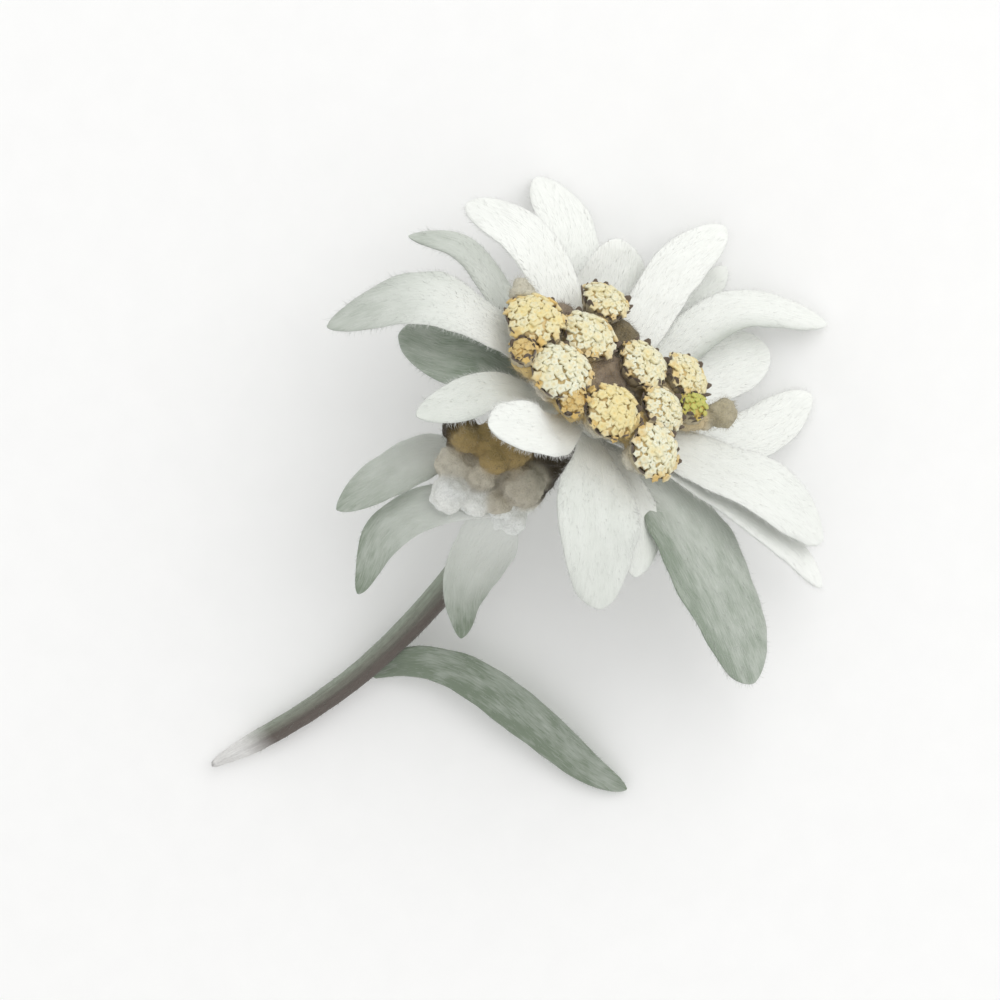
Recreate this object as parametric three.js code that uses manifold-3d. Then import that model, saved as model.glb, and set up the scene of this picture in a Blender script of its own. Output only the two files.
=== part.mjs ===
// An edelweiss cut with a short length of stem, lying on a surface.
//
// The plant is modelled the way it grows: +Z is the flower's own axis, the origin is where that axis meets
// the star of bracts, and azimuths turn from +X towards +Y. LEAN and ROLL then lay the whole plant down, so
// that it rests on the cut end of its stem and on the tips of two bracts, with its face turned up.
// All lengths are millimetres and all angles degrees.
import * as THREE from "three";
import { mergeVertices } from "three/addons/utils/BufferGeometryUtils.js";
import Module from "manifold-3d";

// How the plant lies. LEAN tips the flower's axis over from upright, and ROLL turns it about the ground's X.
const LEAN = 54;
const ROLL = 0.14;

// Clearance left wherever two separate pieces meet.
const GAP = 0.3;

// The stem leaves the flower straight, and bends over towards -X by STEM_BEND on the way down.
const STEM_LENGTH = 72.6; // from the origin to the cut
const STEM_BEND = 34.1;
const STEM_BEND_POWER = 1.3; // above 1, more of the bend is near the flower
const STEM_BOW = 4.4; // sideways bow of the stem, towards -Y
const STEM_BOW_POWER = 1.4; // above 1, the bow is greatest past the middle
const STEM_TOP_RADIUS = 1.75;
const STEM_END_RADIUS = 1.3;
const STEM_CUT_SLANT = 1.7; // how far the slanting cut runs along the stem, for each unit across it
const STEM_SIDES = 10;
const STEM_STEPS = 11;

// The neck is the swollen woolly top of the stem. It widens into the disc that carries the heads.
const NECK_LENGTH = 25.5;
const NECK_RADIUS = 2.4;
const DISC_RADIUS = 3.7;
const DISC_DEPTH = 1.2; // the disc's face lies this far below the origin
const FLARE_DEPTH = 10; // how far down the neck the flare of the disc reaches
const NECK_SIDES = 12;
const NECK_STEPS = 8;

// The flower heads: where the middle of each face lies across the flower, its radius, and its outward tilt.
const HEADS = [
  { x: 4.7, y: -0.6, radius: 2.85, tilt: 4 },
  { x: 1.6, y: 6.1, radius: 3.05, tilt: 9 },
  { x: 2.0, y: -5.9, radius: 2.55, tilt: 9 },
  { x: -4.3, y: -2.0, radius: 3.1, tilt: 8 },
  { x: -5.6, y: 5.4, radius: 3.3, tilt: 13 },
  { x: 7.6, y: 7.8, radius: 2.6, tilt: 18 },
  { x: 8.8, y: -5.1, radius: 2.65, tilt: 16 },
  { x: -3.5, y: -8.7, radius: 3.0, tilt: 17 },
  { x: -2.7, y: 11.8, radius: 3.2, tilt: 20 },
];
const FACE_HEIGHT = 4.6; // height of a face in the middle of the flower
const FACE_DOME = 0.04; // drop of the faces for each unit away from the axis
const CUP_HEIGHT = 2.3;
const CUP_SCALES = 10;
const CUSHION_HEIGHT = 1.1;
const CUSHION_WIDTH = 0.85; // share of the head's radius
const PEDICEL_RADIUS = 0.75;

// Bracts: long woolly leaves in four layers under the heads.
//   layer   0 is the layer next to the heads, and 3 the lowest
//   path    the midrib, as [distance from the flower's axis, azimuth, height]; it starts on the neck
//   width   greatest breadth, which lies at "belly", from 0 at the root to 1 at the tip
//   blunt   roundness of the tip: about 1.5 is pointed, and 4 is square
//   cup     height of the edges above the midrib, as a share of the breadth
//   twist   turn of the blade's face about its midrib, at the tip
const BRACTS = [
  { layer: 0, width: 6.9, belly: 0.66, blunt: 2.4, cup: 0.06,
    path: [[8.5, 176, -1.1], [13.4, 170, 2.0], [20.3, 162, 3.6]] },
  { layer: 1, width: 4.8, belly: 0.62, blunt: 2.4, cup: 0.08,
    path: [[13.2, 141, -2.8], [18.7, 145, -1.6], [24.3, 149, -2.2]] },
  { layer: 0, width: 7.8, belly: 0.52, blunt: 1.8, cup: 0.04,
    path: [[14.1, 105, -1.4], [24.8, 118, 1.6], [31.8, 124, -6.0]] },
  { layer: 2, width: 8.0, belly: 0.6, blunt: 2.4, cup: 0.04,
    path: [[14.5, 110, -4.8], [19.0, 114, -5.8], [23.6, 116, -7.2]] },
  { layer: 1, width: 5.4, belly: 0.52, blunt: 1.8, cup: 0.04,
    path: [[14.5, 82, -3.2], [22.4, 88, -1.6], [27.7, 94, -3.2]] },
  { layer: 0, width: 7.7, belly: 0.62, blunt: 2.6, cup: 0.05,
    path: [[12.0, 58, -1.6], [20.0, 67, 0.0], [27.2, 72, -2.0]] },
  { layer: 3, width: 7.2, belly: 0.58, blunt: 3.4, cup: 0.04,
    path: [[14.0, 43, -6.6], [24.0, 42, -4.8], [32.2, 47, -6.0]] },
  { layer: 2, width: 9.2, belly: 0.64, blunt: 2.8, cup: 0.04,
    path: [[10.0, 31, -4.4], [16.0, 32, -2.4], [20.8, 36, 1.2]] },
  { layer: 0, width: 5.6, belly: 0.6, blunt: 2.6, cup: 0.07,
    path: [[11.0, 12, -1.4], [20.0, 12, 2.8], [27.4, 8, 5.6]] },
  { layer: 3, width: 5.0, belly: 0.62, blunt: 2.4, cup: 0.06,
    path: [[13.0, -2, -5.5], [21.0, 1, -1.9], [26.7, 2, 1.8]] },
  { layer: 1, width: 5.6, belly: 0.48, blunt: 1.5, cup: 0.06,
    path: [[11.0, -8, -2.6], [21.6, -9, 2.9], [31.4, -22, 4.8]] },
  { layer: 2, width: 7.8, belly: 0.64, blunt: 2.8, cup: 0.04,
    path: [[11.0, -21, -4.6], [18.0, -19, -2.6], [25.5, -21, -0.2]] },
  { layer: 3, width: 6.4, belly: 0.64, blunt: 3.2, cup: 0.05,
    path: [[13.0, -46, -6.0], [22.0, -41, -4.2], [30.4, -34, -1.8]] },
  { layer: 0, width: 7.4, belly: 0.58, blunt: 2.0, cup: 0.06,
    path: [[12.0, -70, -1.4], [22.0, -70, 0.8], [31.0, -68, -2.0]] },
  { layer: 1, width: 6.8, belly: 0.58, blunt: 2.2, cup: 0.05,
    path: [[12.0, -80, -3.2], [24.0, -79, -3.2], [34.3, -74, -6.0]] },
  { layer: 3, width: 10.8, belly: 0.6, blunt: 3.2, cup: 0.05, twist: -8,
    path: [[12.0, -96, -6.5], [23.8, -97, -5.9], [35.6, -98, -9.4]] },
  { layer: 2, width: 6.4, belly: 0.6, blunt: 2.2, cup: 0.03,
    path: [[7.0, -110, -4.8], [12.0, -112, -4.4], [17.4, -118, -4.8]] },
  { layer: 1, width: 9.0, belly: 0.58, blunt: 2.2, cup: -0.03,
    path: [[8.6, -142, -2.4], [16.9, -145, -0.4], [24.4, -138, -5.0]] },
];
const LAYER_TOP = -2.9; // height of the midribs of layer 0 where they leave the neck
const LAYER_STEP = 1.4;

// Leaves of the whorl at the bottom of the neck, which hang down past the stem: the midrib as [x, y, z].
const LOWER_LEAVES = [
  { root: -20.0, width: 6.2, belly: 0.6, blunt: 2.0, cup: 0.06,
    path: [[-5.6, 8.4, -20.4], [-13.6, 10.6, -20.6], [-20.9, 11.4, -22.4]] },
  { root: -21.6, width: 6.4, belly: 0.52, blunt: 1.7, cup: 0.06,
    path: [[-9.6, 3.4, -22.2], [-16.4, 5.2, -24.4], [-21.9, 2.9, -29.0]] },
  { root: -23.2, width: 6.2, belly: 0.55, blunt: 2.3, cup: 0.05,
    path: [[-6.6, -4.4, -25.2], [-11.0, -6.0, -26.8], [-15.4, -8.6, -28.6]] },
];

// One narrow leaf lower on the stem, given by the two ends and the two handles of its midrib's curve.
const STEM_LEAF = {
  width: 4.6, belly: 0.55, blunt: 1.7, cup: 0.08,
  curve: [[-13.4, -5.2, -47.9], [-7.4, -9.8, -36.2], [-6.1, -25.4, -41.8], [-3.3, -35.6, -40.1]],
};

// Woolly side buds under the flower: centre and radius. Each sits on a stout stalk from the neck, and the
// stalks and buds grow together into one knobbly mass.
const BUDS = [
  { x: -8.2, y: 6.2, z: -17.0, radius: 1.9 },
  { x: -7.4, y: 3.2, z: -15.8, radius: 1.6 },
  { x: -5.0, y: -1.2, z: -14.6, radius: 2.3 },
  { x: -6.9, y: -0.6, z: -17.8, radius: 1.4 },
  { x: -10.4, y: 4.0, z: -18.8, radius: 2.0 },
  { x: -8.2, y: 1.2, z: -19.2, radius: 1.6 },
  { x: -6.5, y: 8.2, z: -14.4, radius: 1.9 },
  { x: -5.5, y: 5.3, z: -13.4, radius: 1.9 },
  { x: -4.6, y: 2.5, z: -12.4, radius: 1.9 },
];
const BUD_STALK_FOOT = 14; // distance down the neck
const BUD_STALK_RADIUS = 2;

// Blades are lofted between cross-sections, each a row of points on the upper face and one on the lower.
const BLADE_STEPS = 10;
const BLADE_ACROSS = [-1, -0.5, 0, 0.5, 1];
const MIDRIB_THICKNESS = 1.0;
const EDGE_THICKNESS = 0.62;
const ROOT_WIDTH = 1.9;
const TIP_WIDTH = 1.0;
const ROOT_RADIUS = 1.2; // a midrib starts this far from the neck's axis, before the blade is cut back
const EDGE_WAVE = 0.22; // height of the waves of a blade's edges
const EDGE_WAVES = 1.6; // how many there are along it
const WAVE_SHIFT = 2.4; // radians that the waves shift from one blade to the next

// Materials, one for each part of the plant.
const paint = (color, roughness) => new THREE.MeshStandardMaterial({ color, roughness, metalness: 0 });
const STEM_SKIN = paint(0x75695f, 0.85);
const NECK_WOOL = paint(0xaaa08c, 0.95);
const BRACT_WOOL = paint(0xeef1ec, 0.95);
const LEAF_FELT = paint(0xa3aea0, 0.9);
const CUP_WOOL = paint(0x83786a, 0.9);
const FLORET = paint(0xe2d9a4, 0.8);

const wasm = await Module();
wasm.setup();

const radians = THREE.MathUtils.degToRad;
const point = (x, y, z) => new THREE.Vector3(x, y, z);
function polar(radius, azimuth, z) {
  return point(radius * Math.cos(radians(azimuth)), radius * Math.sin(radians(azimuth)), z);
}

// A closed geometry as a solid that can be joined and cut, and back again.
function solidOf(geometry) {
  const bare = geometry.clone();
  bare.deleteAttribute("normal");
  bare.deleteAttribute("uv");
  const merged = mergeVertices(bare, 1e-4);
  return new wasm.Manifold(
    new wasm.Mesh({
      numProp: 3,
      vertProperties: merged.attributes.position.array,
      triVerts: new Uint32Array(merged.index.array),
    }),
  );
}
function geometryFrom(solid) {
  const mesh = solid.getMesh();
  return new THREE.BufferGeometry()
    .setAttribute("position", new THREE.BufferAttribute(mesh.vertProperties, 3))
    .setIndex(new THREE.BufferAttribute(mesh.triVerts, 1));
}
const joined = (geometries) => geometries.map(solidOf).reduce((all, next) => all.add(next));
const cutBy = (geometry, solid) => geometryFrom(solidOf(geometry).subtract(solid));

// A closed tube through rings of equally many points, with a fan over each end.
function tube(rings) {
  const sides = rings[0].length;
  const points = rings.flat();
  const corners = [];
  for (let i = 0; i + 1 < rings.length; i++) {
    for (let j = 0; j < sides; j++) {
      const a = i * sides + j;
      const b = i * sides + ((j + 1) % sides);
      corners.push(a, b, a + sides, b, b + sides, a + sides);
    }
  }
  const middle = (ring) => ring.reduce((sum, p) => sum.add(p), point(0, 0, 0)).divideScalar(sides);
  points.push(middle(rings[0]), middle(rings.at(-1)));
  const last = (rings.length - 1) * sides;
  for (let j = 0; j < sides; j++) {
    const k = (j + 1) % sides;
    corners.push(k, j, points.length - 2);
    corners.push(last + j, last + k, points.length - 1);
  }
  return new THREE.BufferGeometry().setFromPoints(points).setIndex(corners);
}

// A ring of points round a centre, in the plane of two unit vectors.
function ringAt(centre, across, along, radius, sides) {
  return Array.from({ length: sides }, (_, j) => {
    const angle = (2 * Math.PI * j) / sides;
    return centre
      .clone()
      .addScaledVector(across, radius * Math.cos(angle))
      .addScaledVector(along, radius * Math.sin(angle));
  });
}

// The stem's centre line, as a function of the distance down it from the origin.
function stemPoint(distance) {
  const pieces = 60;
  const step = distance / pieces;
  const p = point(0, 0, 0);
  for (let i = 0; i < pieces; i++) {
    const left = 1 - ((i + 0.5) * step) / STEM_LENGTH;
    const bend = radians(STEM_BEND) * (1 - left ** STEM_BEND_POWER);
    p.x -= Math.sin(bend) * step;
    p.z -= Math.cos(bend) * step;
  }
  p.y = -STEM_BOW * Math.sin(Math.PI * (distance / STEM_LENGTH) ** STEM_BOW_POWER);
  return p;
}

// The stem's direction and the two directions across it, at a distance down it.
function stemFrame(distance) {
  const at = stemPoint(distance);
  const down = at.clone().sub(stemPoint(distance - 1)).normalize();
  const side = point(0, 1, 0).addScaledVector(down, -down.y).normalize();
  return { at, down, side, front: new THREE.Vector3().crossVectors(side, down) };
}
function stemRing(distance, radius, sides) {
  const { at, side, front } = stemFrame(distance);
  return ringAt(at, front, side, radius, sides);
}

// The bare stem. Its last ring is drawn out into the slanting cut, longest on the side it lies on.
function stem(extra = 0) {
  const first = NECK_LENGTH + GAP;
  const rings = [];
  for (let i = 0; i <= STEM_STEPS; i++) {
    const t = i / STEM_STEPS;
    const radius = STEM_TOP_RADIUS + (STEM_END_RADIUS - STEM_TOP_RADIUS) * t ** 0.7;
    rings.push(stemRing(first + (STEM_LENGTH - first) * t, radius + extra, STEM_SIDES));
  }
  const { at, down, front } = stemFrame(STEM_LENGTH);
  for (const p of rings.at(-1)) p.addScaledVector(down, STEM_CUT_SLANT * p.clone().sub(at).dot(front));
  return tube(rings);
}

// The neck's bare shape, without what grows on it.
function neckCore(extra = 0) {
  const rings = [];
  for (let i = 0; i <= NECK_STEPS; i++) {
    const distance = DISC_DEPTH + ((NECK_LENGTH - DISC_DEPTH) * i) / NECK_STEPS;
    const flare = (DISC_RADIUS - NECK_RADIUS) * Math.max(0, 1 - distance / FLARE_DEPTH) ** 0.8;
    const taper = (NECK_RADIUS - STEM_TOP_RADIUS) * (distance / NECK_LENGTH) ** 2;
    rings.push(stemRing(distance, NECK_RADIUS + flare - taper + extra, NECK_SIDES));
  }
  return tube(rings);
}

// A thin round stalk along a curve.
function stalk(curve, radius, steps) {
  const rings = [];
  for (let i = 0; i <= steps; i++) {
    const along = curve.getTangent(i / steps);
    const side = point(along.y, -along.x, 1e-3).normalize();
    const other = new THREE.Vector3().crossVectors(along, side);
    rings.push(ringAt(curve.getPoint(i / steps), side, other, radius, 5));
  }
  return tube(rings);
}

// Each head stands at its seat, and its face looks along "axis", a little outwards.
function headFrame({ x, y, tilt }) {
  const away = Math.hypot(x, y);
  const turn = new THREE.Quaternion().setFromAxisAngle(point(-y / away, x / away, 0), radians(tilt));
  const axis = point(0, 0, 1).applyQuaternion(turn);
  const face = point(x, y, FACE_HEIGHT - FACE_DOME * away);
  return { seat: face.addScaledVector(axis, -(CUP_HEIGHT + GAP + CUSHION_HEIGHT)), turn, axis };
}
function pedicel(head) {
  const { seat, axis } = headFrame(head);
  const end = seat.clone().addScaledVector(axis, -GAP);
  const foot = point(head.x * 0.1, head.y * 0.1, -DISC_DEPTH - 1);
  const bow = point(head.x * 0.3, head.y * 0.3, -DISC_DEPTH + 1);
  const curve = new THREE.CubicBezierCurve3(foot, bow, end.clone().addScaledVector(axis, -1), end);
  return stalk(curve, PEDICEL_RADIUS, 3);
}

// A bud and its stalk.
function bud({ x, y, z, radius }) {
  const centre = point(x, y, z);
  const foot = stemPoint(BUD_STALK_FOOT);
  const bow = foot.clone().lerp(centre, 0.5).add(point(0, 0, -0.5));
  const ball = new THREE.SphereGeometry(radius, 8, 5).rotateX(Math.PI / 2).translate(x, y, z);
  return [stalk(new THREE.QuadraticBezierCurve3(foot, bow, centre), BUD_STALK_RADIUS, 2), ball];
}
function neck() {
  return geometryFrom(joined([neckCore(), ...HEADS.map(pedicel), ...BUDS.flatMap(bud)]));
}

// A head's cup: its wall is ridged with scales, whose tips stand up round the rim. Its base is at the origin.
function involucre(radius) {
  const ring = (share, height, ridge, rise) =>
    Array.from({ length: 2 * CUP_SCALES }, (_, i) => {
      const tip = i % 2;
      return polar(radius * (share + ridge * tip), (180 * i) / CUP_SCALES, height + rise * tip);
    });
  return tube([
    ring(0.45, 0, 0, 0),
    ring(0.88, 0.5 * CUP_HEIGHT, 0.08, -0.3),
    ring(0.92, CUP_HEIGHT, 0.07, 0.7),
    ring(0.87, CUP_HEIGHT - 0.1, 0, 0),
  ]);
}

// The cushion of tiny flowers on top of a cup: one in the middle, then rings of six and of twelve.
function cushion(radius) {
  const edge = CUSHION_WIDTH * radius;
  const ring = (share, flowers, crest, height) =>
    Array.from({ length: 24 }, (_, i) => {
      const swell = crest * Math.cos(radians(15 * i * flowers));
      const dome = CUSHION_HEIGHT * (1 - 0.7 * share ** 2);
      return polar(edge * share * (1 + 0.2 * swell), 15 * i, Math.max(0, dome + swell + height));
    });
  return tube([
    ring(0.9, 0, 0, -CUSHION_HEIGHT),
    ring(0.96, 12, 0.15, -0.2),
    ring(0.82, 12, 0.3, 0),
    ring(0.66, 0, 0, -0.25),
    ring(0.47, 6, 0.3, 0),
    ring(0.28, 0, 0, -0.3),
    ring(0.13, 0, 0, 0.15),
  ]);
}

// The blade's breadth at a share of its length, as a share of its greatest breadth.
function bladeShape(t, belly, blunt, rootShare) {
  if (t < belly) return rootShare + (1 - rootShare) * Math.sin((Math.PI / 2) * (t / belly)) ** 1.5;
  return (1 - ((t - belly) / (1 - belly)) ** blunt) ** 0.7;
}

// A leaf blade along a curve. "face" points out of its upper side, and "phase" shifts the waves of its edges.
function blade(curve, { width, belly, blunt, cup, twist = 0 }, face, phase) {
  const upper = [];
  const lower = [];
  for (let i = 0; i <= BLADE_STEPS; i++) {
    const t = 1 - (1 - i / BLADE_STEPS) ** 1.25;
    const along = curve.getTangentAt(t);
    const side = new THREE.Vector3().crossVectors(face, along).normalize();
    side.applyAxisAngle(along, radians(twist * t));
    const up = new THREE.Vector3().crossVectors(along, side);
    const breadth = Math.max(TIP_WIDTH, width * bladeShape(t, belly, blunt, ROOT_WIDTH / width));
    const ridge = (MIDRIB_THICKNESS - EDGE_THICKNESS) * (1 - t);
    for (const u of BLADE_ACROSS) {
      const wave = EDGE_WAVE * (breadth / width) * u ** 3 * Math.sin(2 * Math.PI * EDGE_WAVES * t + phase);
      const half = (EDGE_THICKNESS + ridge * (1 - u * u)) / 2;
      const centre = curve
        .getPointAt(t)
        .addScaledVector(side, (u * breadth) / 2)
        .addScaledVector(up, cup * breadth * u * u + wave);
      upper.push(centre.clone().addScaledVector(up, half));
      lower.push(centre.addScaledVector(up, -half));
    }
  }
  return slab(upper, lower, BLADE_STEPS + 1, BLADE_ACROSS.length);
}

// A closed slab between two grids of points. Both faces are split into triangles along the same diagonals.
function slab(upper, lower, rows, columns) {
  const under = upper.length;
  const corners = [];
  const quad = (a, b, c, d) => corners.push(a, b, c, a, c, d);
  for (let i = 0; i + 1 < rows; i++) {
    for (let j = 0; j + 1 < columns; j++) {
      const a = i * columns + j;
      const b = a + columns;
      corners.push(a, b, b + 1, a, b + 1, a + 1);
      corners.push(a + under, b + 1 + under, b + under, a + under, a + 1 + under, b + 1 + under);
    }
    const left = i * columns;
    const right = left + columns - 1;
    quad(left, left + under, left + under + columns, left + columns);
    quad(right, right + columns, right + under + columns, right + under);
  }
  const tip = (rows - 1) * columns;
  for (let j = 0; j + 1 < columns; j++) {
    quad(j, j + 1, j + 1 + under, j + under);
    quad(tip + j, tip + j + under, tip + j + 1 + under, tip + j + 1);
  }
  return new THREE.BufferGeometry().setFromPoints([...upper, ...lower]).setIndex(corners);
}

// The midrib of a blade that grows out of the neck: it starts inside the neck, and runs through "points".
function midrib(points, rootHeight) {
  const root = stemPoint(-rootHeight).setZ(rootHeight);
  const out = points[0].clone().sub(root).setZ(0).setLength(ROOT_RADIUS);
  return new THREE.CatmullRomCurve3([root.add(out), ...points]);
}

// A named mesh.
function piece(name, geometry, material) {
  const mesh = new THREE.Mesh(geometry, material);
  mesh.name = name;
  return mesh;
}

const plant = new THREE.Group();
const flowerUp = point(0, 0, 1);
const skyward = point(-Math.sin(radians(LEAN)), 0, Math.cos(radians(LEAN))); // in the plant's own frame
const neckClearance = solidOf(neckCore(GAP));

plant.add(piece("stem", stem(), STEM_SKIN));
plant.add(piece("neck", neck(), NECK_WOOL));

BRACTS.forEach((bract, i) => {
  const points = bract.path.map((p) => polar(...p));
  const curve = midrib(points, LAYER_TOP - LAYER_STEP * bract.layer);
  const cut = cutBy(blade(curve, bract, flowerUp, WAVE_SHIFT * i), neckClearance);
  plant.add(piece("bract_" + String(i + 1).padStart(2, "0"), cut, BRACT_WOOL));
});

LOWER_LEAVES.forEach((leaf, i) => {
  const points = leaf.path.map((p) => point(...p));
  const curve = midrib(points, leaf.root);
  const cut = cutBy(blade(curve, leaf, flowerUp, WAVE_SHIFT * i), neckClearance);
  plant.add(piece("lower_leaf_" + (i + 1), cut, LEAF_FELT));
});

const stemLeafCurve = new THREE.CubicBezierCurve3(...STEM_LEAF.curve.map((p) => point(...p)));
const stemLeaf = cutBy(blade(stemLeafCurve, STEM_LEAF, skyward, 0), solidOf(stem(GAP)));
plant.add(piece("stem_leaf", stemLeaf, LEAF_FELT));

HEADS.forEach((head, i) => {
  const { seat, turn, axis } = headFrame(head);
  const cup = piece("involucre_" + (i + 1), involucre(head.radius), CUP_WOOL);
  const florets = piece("florets_" + (i + 1), cushion(head.radius), FLORET);
  cup.position.copy(seat);
  florets.position.copy(seat).addScaledVector(axis, CUP_HEIGHT + GAP);
  for (const part of [cup, florets]) part.quaternion.copy(turn);
  plant.add(cup, florets);
});

plant.rotation.set(radians(ROLL), radians(LEAN), 0);
const edelweiss = new THREE.Group();
edelweiss.add(plant);
edelweiss.updateMatrixWorld(true);
const box = new THREE.Box3().setFromObject(edelweiss, true);
plant.position.set(-(box.min.x + box.max.x) / 2, -(box.min.y + box.max.y) / 2, -box.min.z);

export default edelweiss;
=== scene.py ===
"""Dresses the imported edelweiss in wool, felt and tiny flowers.

The plant is built in its own frame, in millimetres, and then laid in place: +Z is the flower's axis, the origin
is where that axis meets the star of bracts, and azimuths turn from +X towards +Y.
"""

import math
from functools import partial
from typing import NamedTuple

import bmesh
import bpy
import numpy as np
from mathutils import Matrix, Vector, noise


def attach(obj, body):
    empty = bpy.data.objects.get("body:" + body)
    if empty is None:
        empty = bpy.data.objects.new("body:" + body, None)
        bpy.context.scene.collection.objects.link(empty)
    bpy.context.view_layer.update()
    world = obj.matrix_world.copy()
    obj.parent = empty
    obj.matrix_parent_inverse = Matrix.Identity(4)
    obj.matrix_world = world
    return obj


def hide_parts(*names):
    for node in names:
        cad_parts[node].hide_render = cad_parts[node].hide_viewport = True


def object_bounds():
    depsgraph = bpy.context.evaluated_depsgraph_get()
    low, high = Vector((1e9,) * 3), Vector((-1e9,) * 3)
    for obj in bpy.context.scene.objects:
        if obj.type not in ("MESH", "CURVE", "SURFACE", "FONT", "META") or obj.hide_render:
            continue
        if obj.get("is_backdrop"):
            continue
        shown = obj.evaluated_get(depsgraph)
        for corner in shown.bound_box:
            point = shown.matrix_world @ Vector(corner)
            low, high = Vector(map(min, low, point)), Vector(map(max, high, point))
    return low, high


bl_info = {
    "name": "Edelweiss",
    "version": (1, 0, 0),
    "blender": (4, 5, 0),
    "location": "3D View > Sidebar > Edelweiss",
    "description": "Dresses a cut edelweiss in wool, felt and tiny flowers",
    "category": "Add Mesh",
}

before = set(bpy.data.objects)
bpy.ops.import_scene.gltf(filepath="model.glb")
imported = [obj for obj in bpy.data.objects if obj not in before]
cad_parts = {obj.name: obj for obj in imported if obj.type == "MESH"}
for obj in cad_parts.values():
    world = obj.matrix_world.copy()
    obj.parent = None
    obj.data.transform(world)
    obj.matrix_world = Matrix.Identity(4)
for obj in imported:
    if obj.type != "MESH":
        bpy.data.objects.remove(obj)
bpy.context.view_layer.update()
MM = 0.001

# ---------------------------------------------------------------- sizes of the part, in mm and degrees

LEAN = 54  # how far the flower's axis leans towards +X
ROLL = 0.14  # and towards -Y
PLACE = (24.5642, 3.9007, 21.7822)  # where the plant's origin lies in the part

STEM_LENGTH = 72.6
STEM_BEND = 34.1  # how far the stem has turned at its cut end
STEM_BEND_POWER = 1.3
STEM_BOW = 4.1  # how far it bows sideways
STEM_BOW_POWER = 1.6
STEM_TOP_RADIUS = 1.7
STEM_END_RADIUS = 1.2
STEM_TAPER = 0.7  # the lower, the sooner it thins
STEM_HIDDEN = 1.5  # how much of it is inside the neck
STEM_DOWN = 6  # how far the white wool of the neck runs down the stem
STEM_CUT_SLANT = 1.7
CUT_HOLLOW = 0.25  # depth of the cut's middle
DRY_LENGTH = 5.5  # how much of the cut end has shrunk
DRY_SHRINKAGE = 0.5  # and by what share of its radius
PITH_LENGTH = 7.5  # how much of the cut end is paler
PITH_BLEND = 4  # the length over which it turns white

NECK_LENGTH = 25.5
NECK_RADIUS = 2.4
NECK_LIP = 1.3  # the rounded end of the neck's wool, on the stem
NECK_LIP_HEIGHT = 0.3
DISC_RADIUS = 3.7
DISC_DEPTH = 1.2
FLARE_DEPTH = 10

# The heads: x and y of the middle of the face, radius, outward tilt.
HEADS = [
    (4.7, -0.6, 2.85, 4),
    (1.6, 6.1, 3.05, 9),
    (2.0, -5.9, 2.55, 9),
    (-4.3, -2.0, 3.1, 8),
    (-5.6, 5.4, 3.3, 13),
    (7.6, 7.8, 2.6, 18),
    (8.8, -5.1, 2.65, 16),
    (-3.5, -8.7, 3.0, 17),
    (-2.7, 11.8, 3.2, 20),
]
HEAD_WARMTH = [0.25, 0.3, 0.2, 0.85, 0.2, 0.35, 0.45, 0.2, 0.75]  # how yellow the flowers of each head are
FACE_HEIGHT = 4.6
FACE_DOME = 0.04
MEAN_HEAD = 2.9  # the radius of a head on which the tiny flowers have the size that is set
CUP_HEIGHT = 2.3
CUP_FOOT = 0.72  # radius of the knob of wool that a cup stands on, as a share of the head's
CUSHION_HEIGHT = 1.1
GAP = 0.3
PEDICEL_RADIUS = 0.75
DOME_FALL = 0.95  # how much lower the outer flowers of a head are, as a share of the cushion's height
GOLDEN_ANGLE = math.radians(137.508)  # from each tiny flower of a head to the next
FLORET_JOLT = 0.00014  # how far a tiny flower strays from its place, in metres
FLORET_TILT = 0.35  # how far it leans astray
FLORET_SIZES = (0.75, 1.2)  # the smallest and the largest
FLORET_TONES = 0.3  # how much their yellow differs
SCALE_RINGS = 3
FIRST_RING, RING_STEP = 0.56, 0.14  # radius of the lowest ring of scales, and how much wider the next one is
FIRST_FOOT, FOOT_STEP = 0.02, 0.21  # the same for the height of its foot
SCALE_TILT = 0.12
SCALE_SIZES = (0.8, 1.15)
HAIR_SIZES = (0.45, 1.0)
HAIR_BEND = 0.35  # how far the tip of a hair bends aside, as a share of its length


class Blade(NamedTuple):
    """A leaf blade."""

    root: float  # height on the neck where it grows out, or None where it grows out of the stem
    width: float  # greatest breadth
    belly: float  # share of the length at which it is that broad
    blunt: float  # the higher, the rounder its tip
    cup: float  # how far its edges rise, as a share of its breadth
    bare: tuple  # how thin the wool is at the root, in the middle and at the tip; on bracts in shadow it also paints their shade
    path: list  # a bract's midrib as radius, azimuth and height; a leaf's as x, y and z
    fullness: float = 1.5  # the lower, the sooner it broadens
    edge: float = 0  # painted shade along the left edge, or along the right one if it is negative, drawn as thin wool
    twist: float = 0  # turn of the tip
    stain: float = 0.45  # how much the root has of its own tint: on bracts partly yellowed wool and partly painted shade, on lower leaves painted light


# Heights on the neck where the four layers of bracts grow out, from the top down.
TOP_LAYER, SECOND_LAYER, THIRD_LAYER, LOW_LAYER = (-2.9 - 1.4 * layer for layer in range(4))

# Bracts in shadow have higher bare values and edge values: their grey-green is painted shade.
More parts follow.
